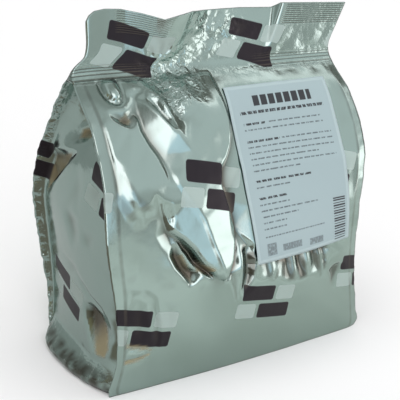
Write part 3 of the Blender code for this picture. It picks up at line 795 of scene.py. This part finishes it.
def painted_warm_reflection(grids):
    """How much painted reflection of warm shadow each point of the film takes."""
    tint = {name: np.zeros(grid.shape[:2]) for name, grid in grids.items()}
    for corners in WARM_FRONT:
        tint["front"] = np.maximum(tint["front"], inside(*FRONT, corners))
    for corners in WARM_LEFT:
        patch = inside(*SIDE, corners, 1.2)
        tint["left"][:, SIDE_MIDDLE] = np.maximum(tint["left"][:, SIDE_MIDDLE], patch)
    return tint


def left_swell(across, up):
    """The left side's own swell at a place on it, in millimetres."""
    return side_swell(across / SIDE_HALF, np.asarray(up) * MM, -1) / MM


# How often the neck is averaged, how close to the seals each relief is held flat in millimetres, and
# the soft edge of the deep shade.
NECK_SOFTENING = 14
PANEL_HELD = 5.0
FRONT_HELD = 1.4
SIDE_HELD = 2.4
SHADE_SOFT = 1.4
# The line of painted shade where a corner seal leaves the panel: its place and its half width.
SEAL_ROOT = (99.6, 1.2)


def film_grids():
    """The front, right, back and left grids of the finished film, and the painted shade of each."""
    grids = base_body()
    near_neck = (FRONT_ROWS > 186) & (FRONT_ROWS < 214)
    for name, face in (("front", 1), ("back", -1)):
        whole = np.concatenate([grids[name], base_seal(grids[name], face)])
        grids[name] = soften(whole, NECK_SOFTENING, near_neck)
    sealed = ease(196, 206, FRONT_ROWS)[:, None]
    sheet = seal_relief(*FRONT) * sealed
    above = np.maximum(held(FRONT_COLUMNS, PANEL_HALF, FRONT_HELD), sealed)
    front = front_relief(*FRONT) * (1 - sealed) * above + sheet
    back = back_relief(*FRONT) * (1 - sealed) * held(FRONT_COLUMNS, PANEL_HALF, PANEL_HELD)
    place, half = SEAL_ROOT
    root = np.clip(1 - np.abs(np.abs(FRONT_COLUMNS) - place) / half, 0, 1)[None, :] * (1 - sealed)
    # Painted shade along the root of each corner seal, uneven up its height.
    seal_root_shade = root * (0.55 + 0.35 * noise(91, 5, 30)(FRONT_ROWS)[:, None])
    # Painted shade in the hollows of the relief, weaker under the cinch, and in the deep-shade shapes.
    shade = hollows(front) * (1 - 0.75 * spot(*FRONT, -38, 200, 34, 28)) + seal_root_shade
    for corners, depth in SHADE_FRONT:
        shade = np.maximum(shade, depth * inside(*FRONT, corners, SHADE_SOFT))
    painted_shade = {"front": shade, "back": hollows(back) + seal_root_shade}
    outward, behind = normals(grids["front"]), -normals(grids["back"])
    grids["front"] = grids["front"] + outward * (front * MM)[..., None]
    grids["back"] = grids["back"] + behind * (back * MM)[..., None] + outward * (sheet * MM)[..., None]
    for name, seed, creases, points in (
        ("left", 51, LEFT_CREASES, LEFT_POINTS), ("right", 61, RIGHT_CREASES, RIGHT_POINTS),
    ):
        depth = side_relief(*SIDE, seed, side_folds(creases, points))
        if name == "left":
            depth = depth + flattened(*SIDE, LEAF, left_swell)
        depth = depth * held(SIDE[0], SIDE_HALF, SIDE_HELD)
        # Painted shade over the rolled hem at the foot of the side, in blotches.
        roll = (1 - ease(11, 15, BODY_ROWS))[:, None]
        hem_shade = roll * (0.6 + 0.6 * crumple(*SIDE, seed + 9, 3.4))
        painted_shade[name] = np.zeros(grids[name].shape[:2])
        painted_shade[name][:, SIDE_MIDDLE] = hollows(depth) + hem_shade
        grids[name][:, SIDE_MIDDLE] += normals(grids[name])[:, SIDE_MIDDLE] * (depth * MM)[..., None]
    for grid in grids.values():
        grid[0, :, 2] = 0
        grid[..., 2] = np.maximum(grid[..., 2], 0)
    return grids, {name: np.clip(values, 0, 1) for name, values in painted_shade.items()}


def in_order(grids):
    """Values on the four grids in the order of the film's points: body rings, seal front, seal back."""
    rings = len(BODY_ROWS)
    body = np.concatenate([grids["front"][:rings], grids["right"][:rings], grids["back"][:rings, ::-1],
                           grids["left"][:rings]], axis=1)
    runs = [body, grids["front"][rings:], grids["back"][rings:]]
    return np.concatenate([run.reshape(-1, run.shape[-1]) for run in runs])


def quads(grid):
    """The faces over a grid of point numbers, counterclockwise."""
    return np.stack([grid[:-1, :-1], grid[:-1, 1:], grid[1:, 1:], grid[1:, :-1]], -1).reshape(-1, 4)


def film_faces(wide, side):
    """The faces of the film over its ordered points, with a last point in the middle of the base."""
    rings, rows = len(BODY_ROWS), len(SEAL_ROWS)
    around = 2 * wide + 2 * side
    index = np.arange(rings * around).reshape(rings, around)
    front_index = rings * around + np.arange(rows * wide).reshape(rows, wide)
    back_index = front_index + rows * wide
    back_start = wide + side
    back_ring = index[-1:, back_start:back_start + wide][:, ::-1]
    grids = (
        np.concatenate([index, index[:, :1]], 1),
        np.concatenate([index[-1:, :wide], front_index]),
        np.concatenate([back_ring, back_index])[:, ::-1],
        np.stack([front_index[-1], back_index[-1]]),
        np.stack([front_index[:, -1], back_index[:, -1]], 1),
        np.stack([back_index[:, 0], front_index[:, 0]], 1),
    )
    faces = np.concatenate([quads(grid) for grid in grids]).tolist()
    ring = index[-1]
    ends = (
        (wide - 1, back_start, front_index[0, -1], back_index[0, -1]),
        (back_start + wide - 1, around, back_index[0, 0], front_index[0, 0]),
    )
    for start, stop, near, far in ends:
        middle = (start + stop) // 2
        for i in range(start, stop):
            faces.append([ring[i], ring[(i + 1) % around], near if i < middle else far])
        faces.append([near, ring[middle], far])
    centre = rings * around + 2 * rows * wide
    faces += [[index[0, (i + 1) % around], index[0, i], centre] for i in range(around)]
    return [[int(k) for k in face] for face in faces]


# How far round the film each run starts, in millimetres, and how wide a side is.
FLANK = 128
RIGHT_START = 112
BACK_MIDDLE = 354
LEFT_START = 466


def film_sheet(side):
    """How far round the film and how high up it each point lies, in metres, from the front's middle."""
    flank = np.linspace(0, FLANK, side)
    places = {"front": FRONT, "right": (RIGHT_START + flank, BODY_ROWS),
              "back": (BACK_MIDDLE - FRONT_COLUMNS, FRONT_ROWS), "left": (LEFT_START + flank, BODY_ROWS)}
    return {n: np.stack(np.meshgrid(across, up), -1) * MM for n, (across, up) in places.items()}


def film_crinkles_and_ribs(side):
    """How crinkled and how ribbed the film is at each point, from 0 to 1."""
    across, up = FRONT_COLUMNS[None, :], FRONT_ROWS[:, None]
    neck = band(up, (194, 200), (208, 214))
    heart, funnel = spot(*FRONT, -38, 200, 32, 26), spot(*FRONT, -44, 188, 11, 18)
    middle = spot(*FRONT, -4, 228, 46, 20)
    edge = ease(99, 102, np.abs(across))
    right = ease(50, 62, across) * ease(206, 212, up)
    front = 0.015 + 0.8 * heart + 0.5 * funnel + 0.4 * middle + 0.12 * neck + 0.03 * edge + 0.10 * right
    back = 0.02 + 0.5 * middle + 0.4 * heart + 0.15 * neck + 0.2 * edge
    flank = np.abs(np.linspace(-1, 1, side))[None, :]
    high, low = ease(150, 195, BODY_ROWS)[:, None], (1 - ease(10, 20, BODY_ROWS))[:, None]
    sides = 0.03 + 0.15 * high + 0.35 * low + 0.4 * ease(0.86, 0.9, flank)
    low_ribs = band(up, (200, 201), (209, 210)) * np.maximum(1 - ease(-60, -50, across),
                                                             0.7 * ease(30, 44, across))
    high_ribs = ease(228, 228.6, up) * np.maximum(band(across, (-87, -84), (-54, -48)),
                                                  ease(51, 54, across))
    ribbed = np.maximum(low_ribs, high_ribs)
    flat = np.zeros((len(BODY_ROWS), side))
    crinkle_ribs_shade = {"front": (front, ribbed), "back": (back, ribbed), "right": (sides, flat), "left": (sides, flat)}
    return {name: np.clip(np.stack(both, -1), 0, 1) for name, both in crinkle_ribs_shade.items()}


def make_object(name, data):
    obj = bpy.data.objects.new(name, data)
    bpy.context.scene.collection.objects.link(obj)
    return obj


def make_sheet(name, points, faces, places):
    """A smooth object over these points, with the place of each on the flat sheet as a UV map."""
    mesh = bpy.data.meshes.new(name)
    mesh.from_pydata(points.tolist(), [], faces)
    mesh.validate()
    corner = np.empty(len(mesh.loops), int)
    mesh.loops.foreach_get("vertex_index", corner)
    mesh.uv_layers.new(name="Sheet").data.foreach_set("uv", places[corner].astype(np.float32).ravel())
    mesh.shade_smooth()
    return make_object(name, mesh)


def make_film():
    """The film as one closed mesh, with its crinkles, ribs, painted shade and painted warm reflection as
    attributes.
    """
    grids, painted_shade = film_grids()
    wide, side = grids["front"].shape[1], grids["right"].shape[1]
    points = np.concatenate([in_order(grids), [[0, 0, 0]]])
    places = np.concatenate([in_order(film_sheet(side)), [[0, -0.06]]])
    film = make_sheet("bag_film", points, film_faces(wide, side), places)
    crinkle_ribs_shade, painted_warm = film_crinkles_and_ribs(side), painted_warm_reflection(grids)
    crinkle_ribs_shade = in_order({name: np.dstack([crinkle_ribs_shade[name], painted_shade[name], painted_warm[name]]) for name in crinkle_ribs_shade})
    crinkle_ribs_shade = np.concatenate([crinkle_ribs_shade, np.zeros((1, crinkle_ribs_shade.shape[1]))]).astype(np.float32)
    for values, name in zip(crinkle_ribs_shade.T, ("crinkle", "ribbed", "shade_paint", "painted_warm")):
        film.data.attributes.new(name, "FLOAT", "POINT").data.foreach_set("value", values.copy())
    return film


# The label, in millimetres, with the middle of its foot in metres.

LABEL_WIDTH = 87.0
LABEL_HEIGHT = 120.0
LABEL_FOOT = (0.035, 0.083)
LABEL_TURN = math.radians(0.8)
# How far its back lies off the smooth panel, and how much more it ripples.
LABEL_GAP = 0.65
LABEL_RIPPLE = 0.075
LABEL_THICKNESS = 0.16
LABEL_COLUMNS = 60
LABEL_ROWS = 84


def front_base(x, height):
    """A point of the smooth front panel, or of the seal at its right edge."""
    at = corner_points(height)
    start, end = at["front_left"], at["front_right"]
    across = (x - start[..., 0]) / (end[..., 0] - start[..., 0])
    bulge = smooth(FRONT_BULGE, height) * (1 - (2 * across - 1) ** 2)
    y = start[..., 1] + (end[..., 1] - start[..., 1]) * across - CORNER_SEAL_THICKNESS / 2 - bulge
    turned = end[..., 1] + (x - end[..., 0]) * math.tan(math.radians(SEAL_TURN["front_right"]))
    y = np.where(across > 1, turned - CORNER_SEAL_THICKNESS / 2, y)
    return np.stack([x, y, height], -1)


def make_label():
    """The paper label, a thin sheet over the front panel."""
    u = np.linspace(-LABEL_WIDTH / 2, LABEL_WIDTH / 2, LABEL_COLUMNS + 1)
    v = np.linspace(0, LABEL_HEIGHT, LABEL_ROWS + 1)
    cos, sin = math.cos(LABEL_TURN), math.sin(LABEL_TURN)
    walk = np.arange(0.05, 0.2, 0.0005)
    line = front_base(np.full_like(walk, LABEL_FOOT[0]), walk)
    length = np.concatenate([[0], np.cumsum(np.linalg.norm(np.diff(line, axis=0), axis=1))])
    foot = np.interp(LABEL_FOOT[1], walk, length)
    grid_u, grid_v = np.meshgrid(u * MM, v * MM)
    height = np.interp(foot + grid_u * sin + grid_v * cos, length, walk)
    points = front_base(LABEL_FOOT[0] + grid_u * cos - grid_v * sin, height)
    outward = normals(points)
    ripple = LABEL_RIPPLE * noise(71, 5, 60)(grid_u / MM * 0.8 + grid_v / MM * 0.6)
    points = points + outward * ((LABEL_GAP + ripple) * MM)[..., None]
    index = np.arange(points.shape[0] * points.shape[1]).reshape(points.shape[:2])
    places = np.stack([grid_u, grid_v], -1).reshape(-1, 2)
    label = make_sheet("label_sheet", points.reshape(-1, 3), quads(index).tolist(), places)
    paper = label.modifiers.new("Paper", "SOLIDIFY")
    paper.thickness = LABEL_THICKNESS * MM
    paper.offset = 1
    return label


# Materials.


class Nodes:
    """A short way to add shader nodes to a tree."""

    def __init__(self, tree):
        self.tree = tree

    def feed(self, socket, value):
        if isinstance(value, bpy.types.NodeSocket):
            self.tree.links.new(value, socket)
        else:
            socket.default_value = value

    def add(self, kind, *values, **settings):
        """A node with these settings, and with these values or links in its first sockets."""
        node = self.tree.nodes.new(kind)
        for key, value in settings.items():
            setattr(node, key, value)
        for socket, value in zip([s for s in node.inputs if s.enabled], values):
            self.feed(socket, value)
        return node

    def math(self, operation, *values):
        return self.add("ShaderNodeMath", *values, operation=operation).outputs[0]

    def times(self, a, b):
        return self.math("MULTIPLY", a, b)

    def vector(self, operation, *values):
        return self.add("ShaderNodeVectorMath", *values, operation=operation).outputs[0]

    def dot(self, a, b):
        return self.add("ShaderNodeVectorMath", a, b, operation="DOT_PRODUCT").outputs[1]

    def range(self, value, low, high, start=0.0, end=1.0):
        node = self.add("ShaderNodeMapRange", value, low, high, start, end, interpolation_type="SMOOTHSTEP")
        return node.outputs[0]

    def mix(self, factor, a, b, kind="RGBA"):
        node = self.add("ShaderNodeMix", factor, a, b, data_type=kind)
        return next(s for s in node.outputs if s.enabled)

    def noise(self, place, scale, detail=3.0):
        return self.add("ShaderNodeTexNoise", place, scale, detail).outputs["Fac"]

    def bump(self, height, distance):
        node = self.add("ShaderNodeBump")
        self.feed(node.inputs["Height"], height)
        self.feed(node.inputs["Distance"], distance)
        return node.outputs["Normal"]

    def attribute(self, name):
        return self.add("ShaderNodeAttribute", attribute_name=name).outputs["Fac"]

    def place(self):
        return self.add("ShaderNodeTexCoord").outputs["Object"]

    def sheet(self):
        return self.add("ShaderNodeUVMap", uv_map="Sheet").outputs[0]

    def split(self, place):
        """The first two parts of a place."""
        x, y, _ = self.add("ShaderNodeSeparateXYZ", place).outputs
        return x, y

    def for_camera(self, seen, mirrored):
        """One value where the camera sees a surface itself, and another in all that mirrors it."""
        return self.mix(self.add("ShaderNodeLightPath").outputs["Is Camera Ray"], mirrored, seen)

    def wave(self, value, pitch):
        return self.math("SINE", self.times(value, 2 * math.pi / (pitch * MM)))

    def most(self, values):
        """The highest of several values."""
        highest, *others = values
        for value in others:
            highest = self.math("MAXIMUM", highest, value)
        return highest

    def away(self, value, middle):
        return self.math("ABSOLUTE", self.math("SUBTRACT", value, middle))

    def box(self, across, up, middle, size, soft=0.3):
        """1 inside an upright rectangle with a soft edge, all in millimetres."""
        wide, tall = (self.math("SUBTRACT", length / 2 * MM, self.away(value, centre * MM))
                      for value, centre, length in zip((across, up), middle, size))
        return self.range(self.math("MINIMUM", wide, tall), -soft * MM, soft * MM)

    def brick(self, across, up, middle, size, corner, soft=0.3):
        """1 inside an upright rectangle with round corners and a soft edge, all in millimetres."""
        squares = []
        for value, centre, length in zip((across, up), middle, size):
            past = self.math("SUBTRACT", self.away(value, centre * MM), (length / 2 - corner) * MM)
            past = self.math("MAXIMUM", past, 0.0)
            squares.append(self.times(past, past))
        reach = self.math("SQRT", self.math("ADD", *squares))
        return self.range(reach, (corner + soft) * MM, (corner - soft) * MM)


def new_material(name):
    material = bpy.data.materials.new(name)
    material.use_nodes = True
    nodes = Nodes(material.node_tree)
    shader = material.node_tree.nodes["Principled BSDF"]
    return material, nodes, shader


FILM_COLOUR = (0.345, 0.45, 0.415, 1)
INK_DARK = (0.012, 0.009, 0.013, 1)
INK_PALE = (0.37, 0.47, 0.44, 1)
FILM_ROUGHNESS = 0.16
# Painted shade colour for rib grooves, hollows, seal roots and the hem.
CREASE_SHADE_COLOUR = (0.075, 0.068, 0.052, 1)
# Painted reflection of warm shadow.
WARM_REFLECTION_COLOUR = (0.33, 0.285, 0.165, 1)

# The print: rows of small groups of bricks, in millimetres.
PRINT_STEP = (100.0, 84.0)
PRINT_START = (-3.0, 75.0)
PRINT_SKEW = 41.0
PRINT_TURN = math.radians(-12)
BRICK_CORNER = 1.8
DARK_BRICKS = (((-9, 7.4), (29, 12)), ((8, -7.4), (29, 12)))
PALE_BRICKS = (((16.5, 7.4), (17, 12)), ((-17.5, -7.4), (17, 12)))


def print_masks(nodes):
    """Where the film is printed dark, and where it is printed pale."""
    along, up = nodes.split(nodes.sheet())
    across = nodes.math("ADD", along, PRINT_START[0] * MM)
    up = nodes.math("ADD", up, PRINT_START[1] * MM)
    row = nodes.math("FLOOR", nodes.math("DIVIDE", up, PRINT_STEP[1] * MM))
    across = nodes.math("ADD", across, nodes.times(row, PRINT_SKEW * MM))
    near, over = (nodes.math("SUBTRACT", nodes.math("FLOORED_MODULO", value, step * MM), step / 2 * MM)
                  for value, step in zip((across, up), PRINT_STEP))
    cos, sin = math.cos(PRINT_TURN), math.sin(PRINT_TURN)
    a = nodes.math("ADD", nodes.times(near, cos), nodes.times(over, sin))
    b = nodes.math("SUBTRACT", nodes.times(over, cos), nodes.times(near, sin))
    return [nodes.most([nodes.brick(a, b, *brick, BRICK_CORNER) for brick in bricks])
            for bricks in (DARK_BRICKS, PALE_BRICKS)]


def creased(nodes, place, scale, seed):
    """Sharp-edged crumples: noise folded at its middle, from 0 to 1."""
    moved = nodes.vector("ADD", place, (seed, seed * 0.7, seed * 0.3))
    field = nodes.noise(moved, scale, 1.0)
    return nodes.times(nodes.away(field, 0.5), 4.0)


# Crinkles too fine for the mesh: their scale, seed and depth in metres.
CRINKLES = ((130.0, 0.3, 0.0007), (300.0, 1.7, 0.0003))
RIB_DEPTH = 0.00016
SMEAR_SCALE = 70.0
SMEAR_DEPTH = 0.0001
# The height on the sheet that parts the ribs of the neck from those of the top seal.
NECK_TOP = 0.218


def film_relief(nodes, place):
    """The crinkles too fine for the mesh, the fine ribs of the welds, and where their grooves lie for
    painted shade.
    """
    up = nodes.split(nodes.sheet())[1]
    above = nodes.math("GREATER_THAN", up, NECK_TOP)
    wave = nodes.mix(above, nodes.wave(up, NECK_RIB), nodes.wave(up, TOP_RIB), kind="FLOAT")
    # The rib grooves dent the bump slightly and take painted shade in the colour.
    groove = nodes.times(nodes.range(wave, -0.2, -0.75), nodes.attribute("ribbed"))
    coarse, fine = (nodes.times(creased(nodes, place, scale, seed), depth)
                    for scale, seed, depth in CRINKLES)
    height = nodes.times(nodes.math("ADD", coarse, fine), nodes.attribute("crinkle"))
    height = nodes.math("SUBTRACT", height, nodes.times(groove, RIB_DEPTH))
    smear = nodes.times(nodes.noise(place, SMEAR_SCALE), SMEAR_DEPTH)
    return nodes.bump(nodes.math("ADD", height, smear), 1.0), groove


# How strongly painted shade darkens the film in rib grooves and in hollows, and how far print and the
# painted warm reflection are less metallic.
RIB_GROOVE_SHADE = 0.6
HOLLOW_SHADE_SHARE = 0.9
PALE_MATT = 0.75
WARM_MATT = 0.6
INK_ROUGHNESS = 0.38


def film_material():
    """Metallised film, mirror-like, with fine crinkles, a matt print, painted shade and a painted warm
    reflection.
    """
    material, nodes, shader = new_material("metallised_film")
    dark, pale = print_masks(nodes)
    place = nodes.place()
    normal, groove = film_relief(nodes, place)
    painted_warm = nodes.attribute("painted_warm")
    cloudy = nodes.range(nodes.noise(place, 60.0), 0.25, 0.6, 0.5, 0.95)
    colour = FILM_COLOUR
    # Print, then a painted warm shadow reflection, then painted shade in rib grooves, hollows, seal roots
    # and hem.
    for share, coat in (
        (pale, INK_PALE), (dark, INK_DARK), (nodes.times(painted_warm, cloudy), WARM_REFLECTION_COLOUR),
        (nodes.times(groove, RIB_GROOVE_SHADE), CREASE_SHADE_COLOUR),
        (nodes.times(nodes.attribute("shade_paint"), HOLLOW_SHADE_SHARE), CREASE_SHADE_COLOUR),
    ):
        colour = nodes.mix(share, colour, coat)
    # Print and the painted warm reflection are less metallic and rougher.
    ink_and_painted_warm = nodes.most([dark, nodes.times(pale, PALE_MATT), nodes.times(painted_warm, WARM_MATT)])
    smear = nodes.range(nodes.noise(place, 35.0), 0.3, 0.7, FILM_ROUGHNESS - 0.03, FILM_ROUGHNESS + 0.05)
    for name, value in (
        ("Base Color", colour), ("Specular IOR Level", 0.25),
        ("Metallic", nodes.math("SUBTRACT", 1.0, ink_and_painted_warm)),
        ("Roughness", nodes.mix(ink_and_painted_warm, smear, INK_ROUGHNESS, kind="FLOAT")), ("Normal", normal),
    ):
        nodes.feed(shader.inputs[name], value)
    return material


PAPER_COLOUR = (0.315, 0.415, 0.43, 1)
PAPER_EDGE = (0.37, 0.475, 0.485, 1)
PAPER_INK = (0.02, 0.024, 0.028, 1)
PAPER_GREY_INK = (0.06, 0.08, 0.088, 1)

# Greeked print on the label, in millimetres from its lower left corner.
# A line is (left, right, middle height, thickness, word length): dashes stand for words.
HEADINGS = ((20.5, 70, 108.2, 7.2, 6.6),)
BOLD_LINES = (
    (8, 79, 100.4, 2.1, 4.6),
    (9, 27, 92.6, 1.5, 5.5),
    (9, 36, 80.6, 1.5, 5.5),
    (9, 56, 53.6, 1.5, 5.5),
    (9, 33, 42, 1.5, 5.5),
)
TEXT_LINES = (
    (30, 74, 92.8, 1, 5.2),
    (9, 75, 88.6, 1, 4.4),
    (38, 80, 80.8, 1, 4.8),
    (9, 80, 76.7, 1, 5),
    (9, 80, 72.6, 1, 4.2),
    (9, 66, 68.6, 1, 5.4),
    (9, 80, 64.6, 1, 4.6),
    (9, 48, 60.6, 1, 5),
    (9, 37, 49.4, 1, 5.6),
    (9, 34, 37.8, 1, 4.4),
    (9, 58, 33.8, 1, 5.2),
    (9, 40, 29.8, 1, 4.6),
    (9, 29, 25.8, 1, 5),
    (9, 28, 21.8, 1, 4),
    (9, 62, 16.6, 0.9, 2.6),
)
BLOCKS = (
    ((13, 8.2), (8, 8)),
    ((31, 7.4), (17, 4.6)),
    ((53.5, 6.2), (13, 4.6)),
)
# Upright stack of level bars: its middle, its size and their pitch.
STRIPES = ((77.2, 17.6), (11, 31), 1.9)
DASH_SOFT = 0.12
PAPER_MARGIN = 5.0


def print_lines(nodes, across, up, lines, ragged):
    """1 where any of these rows of dashes is printed."""
    dashes = []
    for left, right, middle, tall, word in lines:
        line = nodes.box(across, up, ((left + right) / 2, middle), (right - left, tall), DASH_SOFT)
        shift = nodes.math("MULTIPLY_ADD", ragged, 1.6, middle * 0.37)
        cell = nodes.math("FRACT", nodes.math("ADD", nodes.math("DIVIDE", across, word * MM), shift))
        gap = nodes.times(nodes.range(cell, 0.10, 0.14), nodes.range(cell, 0.92, 0.88))
        dashes.append(nodes.times(line, gap))
    return nodes.most(dashes)


def paper_material():
    """Coated paper with plain printed marks that aren't letters."""
    material, nodes, shader = new_material("label_paper")
    place = nodes.sheet()
    along, up = nodes.split(place)
    across = nodes.math("ADD", along, LABEL_WIDTH / 2 * MM)
    ragged = nodes.noise(place, 110.0, 0.0)
    letters = nodes.noise(nodes.vector("MULTIPLY", place, (1.0, 0.35, 1.0)), 1500.0, 0.0)
    letters = nodes.range(letters, 0.36, 0.46)
    blocks = [nodes.times(nodes.box(across, up, *block), 0.8) for block in BLOCKS]
    fine = nodes.most([print_lines(nodes, across, up, TEXT_LINES, ragged), *blocks])
    bold = print_lines(nodes, across, up, BOLD_LINES, ragged)
    *stack, pitch = STRIPES
    other = nodes.times(nodes.wave(up, pitch * 2.7), 0.7)
    bars = nodes.range(nodes.math("ADD", nodes.wave(up, pitch), other), -0.1, 0.2)
    bars = nodes.times(nodes.box(across, up, *stack), bars)
    dark = nodes.most([print_lines(nodes, across, up, HEADINGS, 0.0), bars])
    bold = nodes.times(bold, nodes.math("MULTIPLY_ADD", letters, 0.5, 0.5))
    fine = nodes.times(fine, nodes.math("MULTIPLY_ADD", letters, 0.5, 0.35))
    size = (LABEL_WIDTH - PAPER_MARGIN, LABEL_HEIGHT - PAPER_MARGIN)
    inner = nodes.box(across, up, (LABEL_WIDTH / 2, LABEL_HEIGHT / 2), size, 0.4)
    colour = PAPER_EDGE
    for share, ink in ((inner, PAPER_COLOUR), (fine, PAPER_GREY_INK), (bold, PAPER_INK), (dark, PAPER_INK)):
        colour = nodes.mix(share, colour, ink)
    nodes.feed(shader.inputs["Base Color"], colour)
    nodes.feed(shader.inputs["Roughness"], 0.42)
    nodes.feed(shader.inputs["Normal"], nodes.bump(nodes.noise(place, 240.0), 0.00003))
    return material


# The studio.

# The floor: its colour to the camera, then the colours that the film mirrors, painted as shade: dimmer
# behind and beside the bag, ahead of it in two tones, and a painted shadow at its left corner.
FLOOR_COLOUR = (0.88, 0.885, 0.885, 1)
FLOOR_DIM = (0.56, 0.56, 0.555, 1)
FLOOR_AHEAD = (0.86, 0.86, 0.84, 1)
FLOOR_AHEAD_DIM = (0.64, 0.645, 0.615, 1)
FLOOR_SHADE = (0.21, 0.17, 0.13, 1)
FLOOR_HALF = 1.6
AHEAD = (0.56, -0.83, 0)


def make_floor():
    h = FLOOR_HALF
    mesh = bpy.data.meshes.new("floor")
    mesh.from_pydata([(-h, -h, 0), (h, -h, 0), (h, h, 0), (-h, h, 0)], [], [(0, 1, 2, 3)])
    floor = make_object("studio_floor", mesh)
    material, nodes, shader = new_material("studio_floor")
    place = nodes.place()
    ahead = nodes.dot(place, AHEAD)
    front = nodes.mix(nodes.range(nodes.noise(place, 7.0), 0.38, 0.62), FLOOR_AHEAD, FLOOR_AHEAD_DIM)
    mirrored = nodes.mix(nodes.range(ahead, -0.12, 0.10), FLOOR_DIM, front)
    x, y = nodes.split(place)
    # A painted shadow on the floor by the bag's left corner, seen only in what mirrors the floor.
    corner = nodes.times(nodes.range(x, -0.14, -0.17), nodes.range(y, 0.02, -0.02))
    mirrored = nodes.mix(corner, mirrored, FLOOR_SHADE)
    nodes.feed(shader.inputs["Base Color"], nodes.for_camera(FLOOR_COLOUR, mirrored))
    nodes.feed(shader.inputs["Roughness"], 0.9)
    mesh.materials.append(material)


# The room that the film mirrors. Azimuth 0 is in front of the bag, 90 is to its right, in degrees.
# Each patch is (azimuth, elevation), (half width, half height), softness, colour.
ROOM_LOW = (0.62, 0.62, 0.61)
ROOM_MIDDLE = (0.92, 0.93, 0.95)
ROOM_HIGH = (0.72, 0.72, 0.72)
ROOM_PATCHES = (
    ((-135, 15), (60, 46), 0.5, (0.42, 0.43, 0.42)),
    ((150, 25), (45, 40), 0.5, (0.50, 0.51, 0.50)),
    ((-72, -2), (26, 14), 0.4, (0.36, 0.29, 0.18)),
    ((4, 8), (13, 15), 0.2, (1.12, 1.28, 1.48)),
    ((-10, 32), (14, 16), 0.2, (2.7, 2.4, 2.5)),
    ((-16, 12), (12, 14), 0.2, (2.6, 2.4, 2.55)),
    ((58, 3), (15, 12), 0.2, (2.7, 2.45, 2.5)),
    ((80, 40), (9, 16), 0.3, (2.2, 2.05, 2.1)),
    ((88, 26), (10, 36), 0.3, (0.22, 0.21, 0.19)),
    ((-38, 24), (9, 30), 0.3, (0.24, 0.24, 0.22)),
    ((20, 74), (26, 9), 0.3, (0.45, 0.45, 0.44)),
)


def make_world():
    world = bpy.data.worlds.new("studio")
    bpy.context.scene.world = world
    world.use_nodes = True
    nodes = Nodes(world.node_tree)
    shade = world.node_tree.nodes["Background"]
    direction = nodes.add("ShaderNodeTexCoord").outputs["Generated"]
    rise = nodes.dot(direction, (0, 0, 1))
    light = nodes.mix(nodes.range(rise, 0.05, 0.45), (*ROOM_LOW, 1), (*ROOM_MIDDLE, 1))
    light = nodes.mix(nodes.range(rise, 0.6, 0.95), light, (*ROOM_HIGH, 1))
    for (azimuth, elevation), (wide, tall), soft, colour in ROOM_PATCHES:
        a, e = math.radians(azimuth), math.radians(elevation)
        facing = Vector((math.sin(a) * math.cos(e), -math.cos(a) * math.cos(e), math.sin(e)))
        aside = Vector((math.cos(a), math.sin(a), 0))
        above = aside.cross(facing)
        depth = nodes.dot(direction, tuple(facing))
        ahead = nodes.math("MAXIMUM", depth, 0.001)
        mask = nodes.range(depth, 0.0, 0.1)
        for axis, half in ((aside, wide), (above, tall)):
            size = math.tan(math.radians(half))
            offset = nodes.dot(direction, tuple(axis))
            slope = nodes.math("ABSOLUTE", nodes.math("DIVIDE", offset, ahead))
            edge = nodes.range(slope, size * (1 - soft), size * (1 + soft), 1.0, 0.0)
            mask = nodes.times(mask, edge)
        light = nodes.mix(mask, light, (*colour, 1))
    nodes.feed(shade.inputs["Color"], nodes.for_camera((1, 1, 1, 1), light))
    nodes.feed(shade.inputs["Strength"], 1.0)


def make_camera():
    cos, sin = math.cos, math.sin
    level = Vector((cos(CAMERA_YAW), sin(CAMERA_YAW), 0))
    away = Vector((sin(CAMERA_YAW), -cos(CAMERA_YAW), 0))
    back = away * cos(CAMERA_PITCH) + Vector((0, 0, sin(CAMERA_PITCH)))
    up = back.cross(level)
    right = cos(CAMERA_ROLL) * level + sin(CAMERA_ROLL) * up
    above = cos(CAMERA_ROLL) * up - sin(CAMERA_ROLL) * level
    data = bpy.data.cameras.new("camera")
    data.lens = CAMERA_LENS
    data.sensor_width = 36
    camera = make_object("camera", data)
    camera.rotation_mode = "QUATERNION"
    camera.rotation_quaternion = Matrix((right, above, back)).transposed().to_quaternion()
    camera.location = back * CAMERA_DISTANCE - CAMERA_SLIDE[0] * right - CAMERA_SLIDE[1] * above
    bpy.context.scene.camera = camera


KEY_PLACE = (-0.3, -0.3, 1.6)


def make_lights():
    """A broad soft light from above that the film doesn't mirror."""
    data = bpy.data.lights.new("key", "SUN")
    data.energy = 1.5
    data.angle = math.radians(70)
    key = make_object("key_light", data)
    key.location = KEY_PLACE
    key.rotation_mode = "QUATERNION"
    key.rotation_quaternion = (-Vector(KEY_PLACE)).to_track_quat("-Z", "Y")
    key.visible_camera = False
    key.visible_glossy = False


def main():
    for piece, material, node, slot in (
        (make_film(), film_material(), "bag", "film"),
        (make_label(), paper_material(), "label", "label_paper"),
    ):
        piece.data.materials.append(material)
        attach(piece, "root")
        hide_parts(node)
    make_floor()
    make_world()
    make_lights()
    make_camera()
    bpy.context.scene.view_settings.view_transform = "Standard"


main()
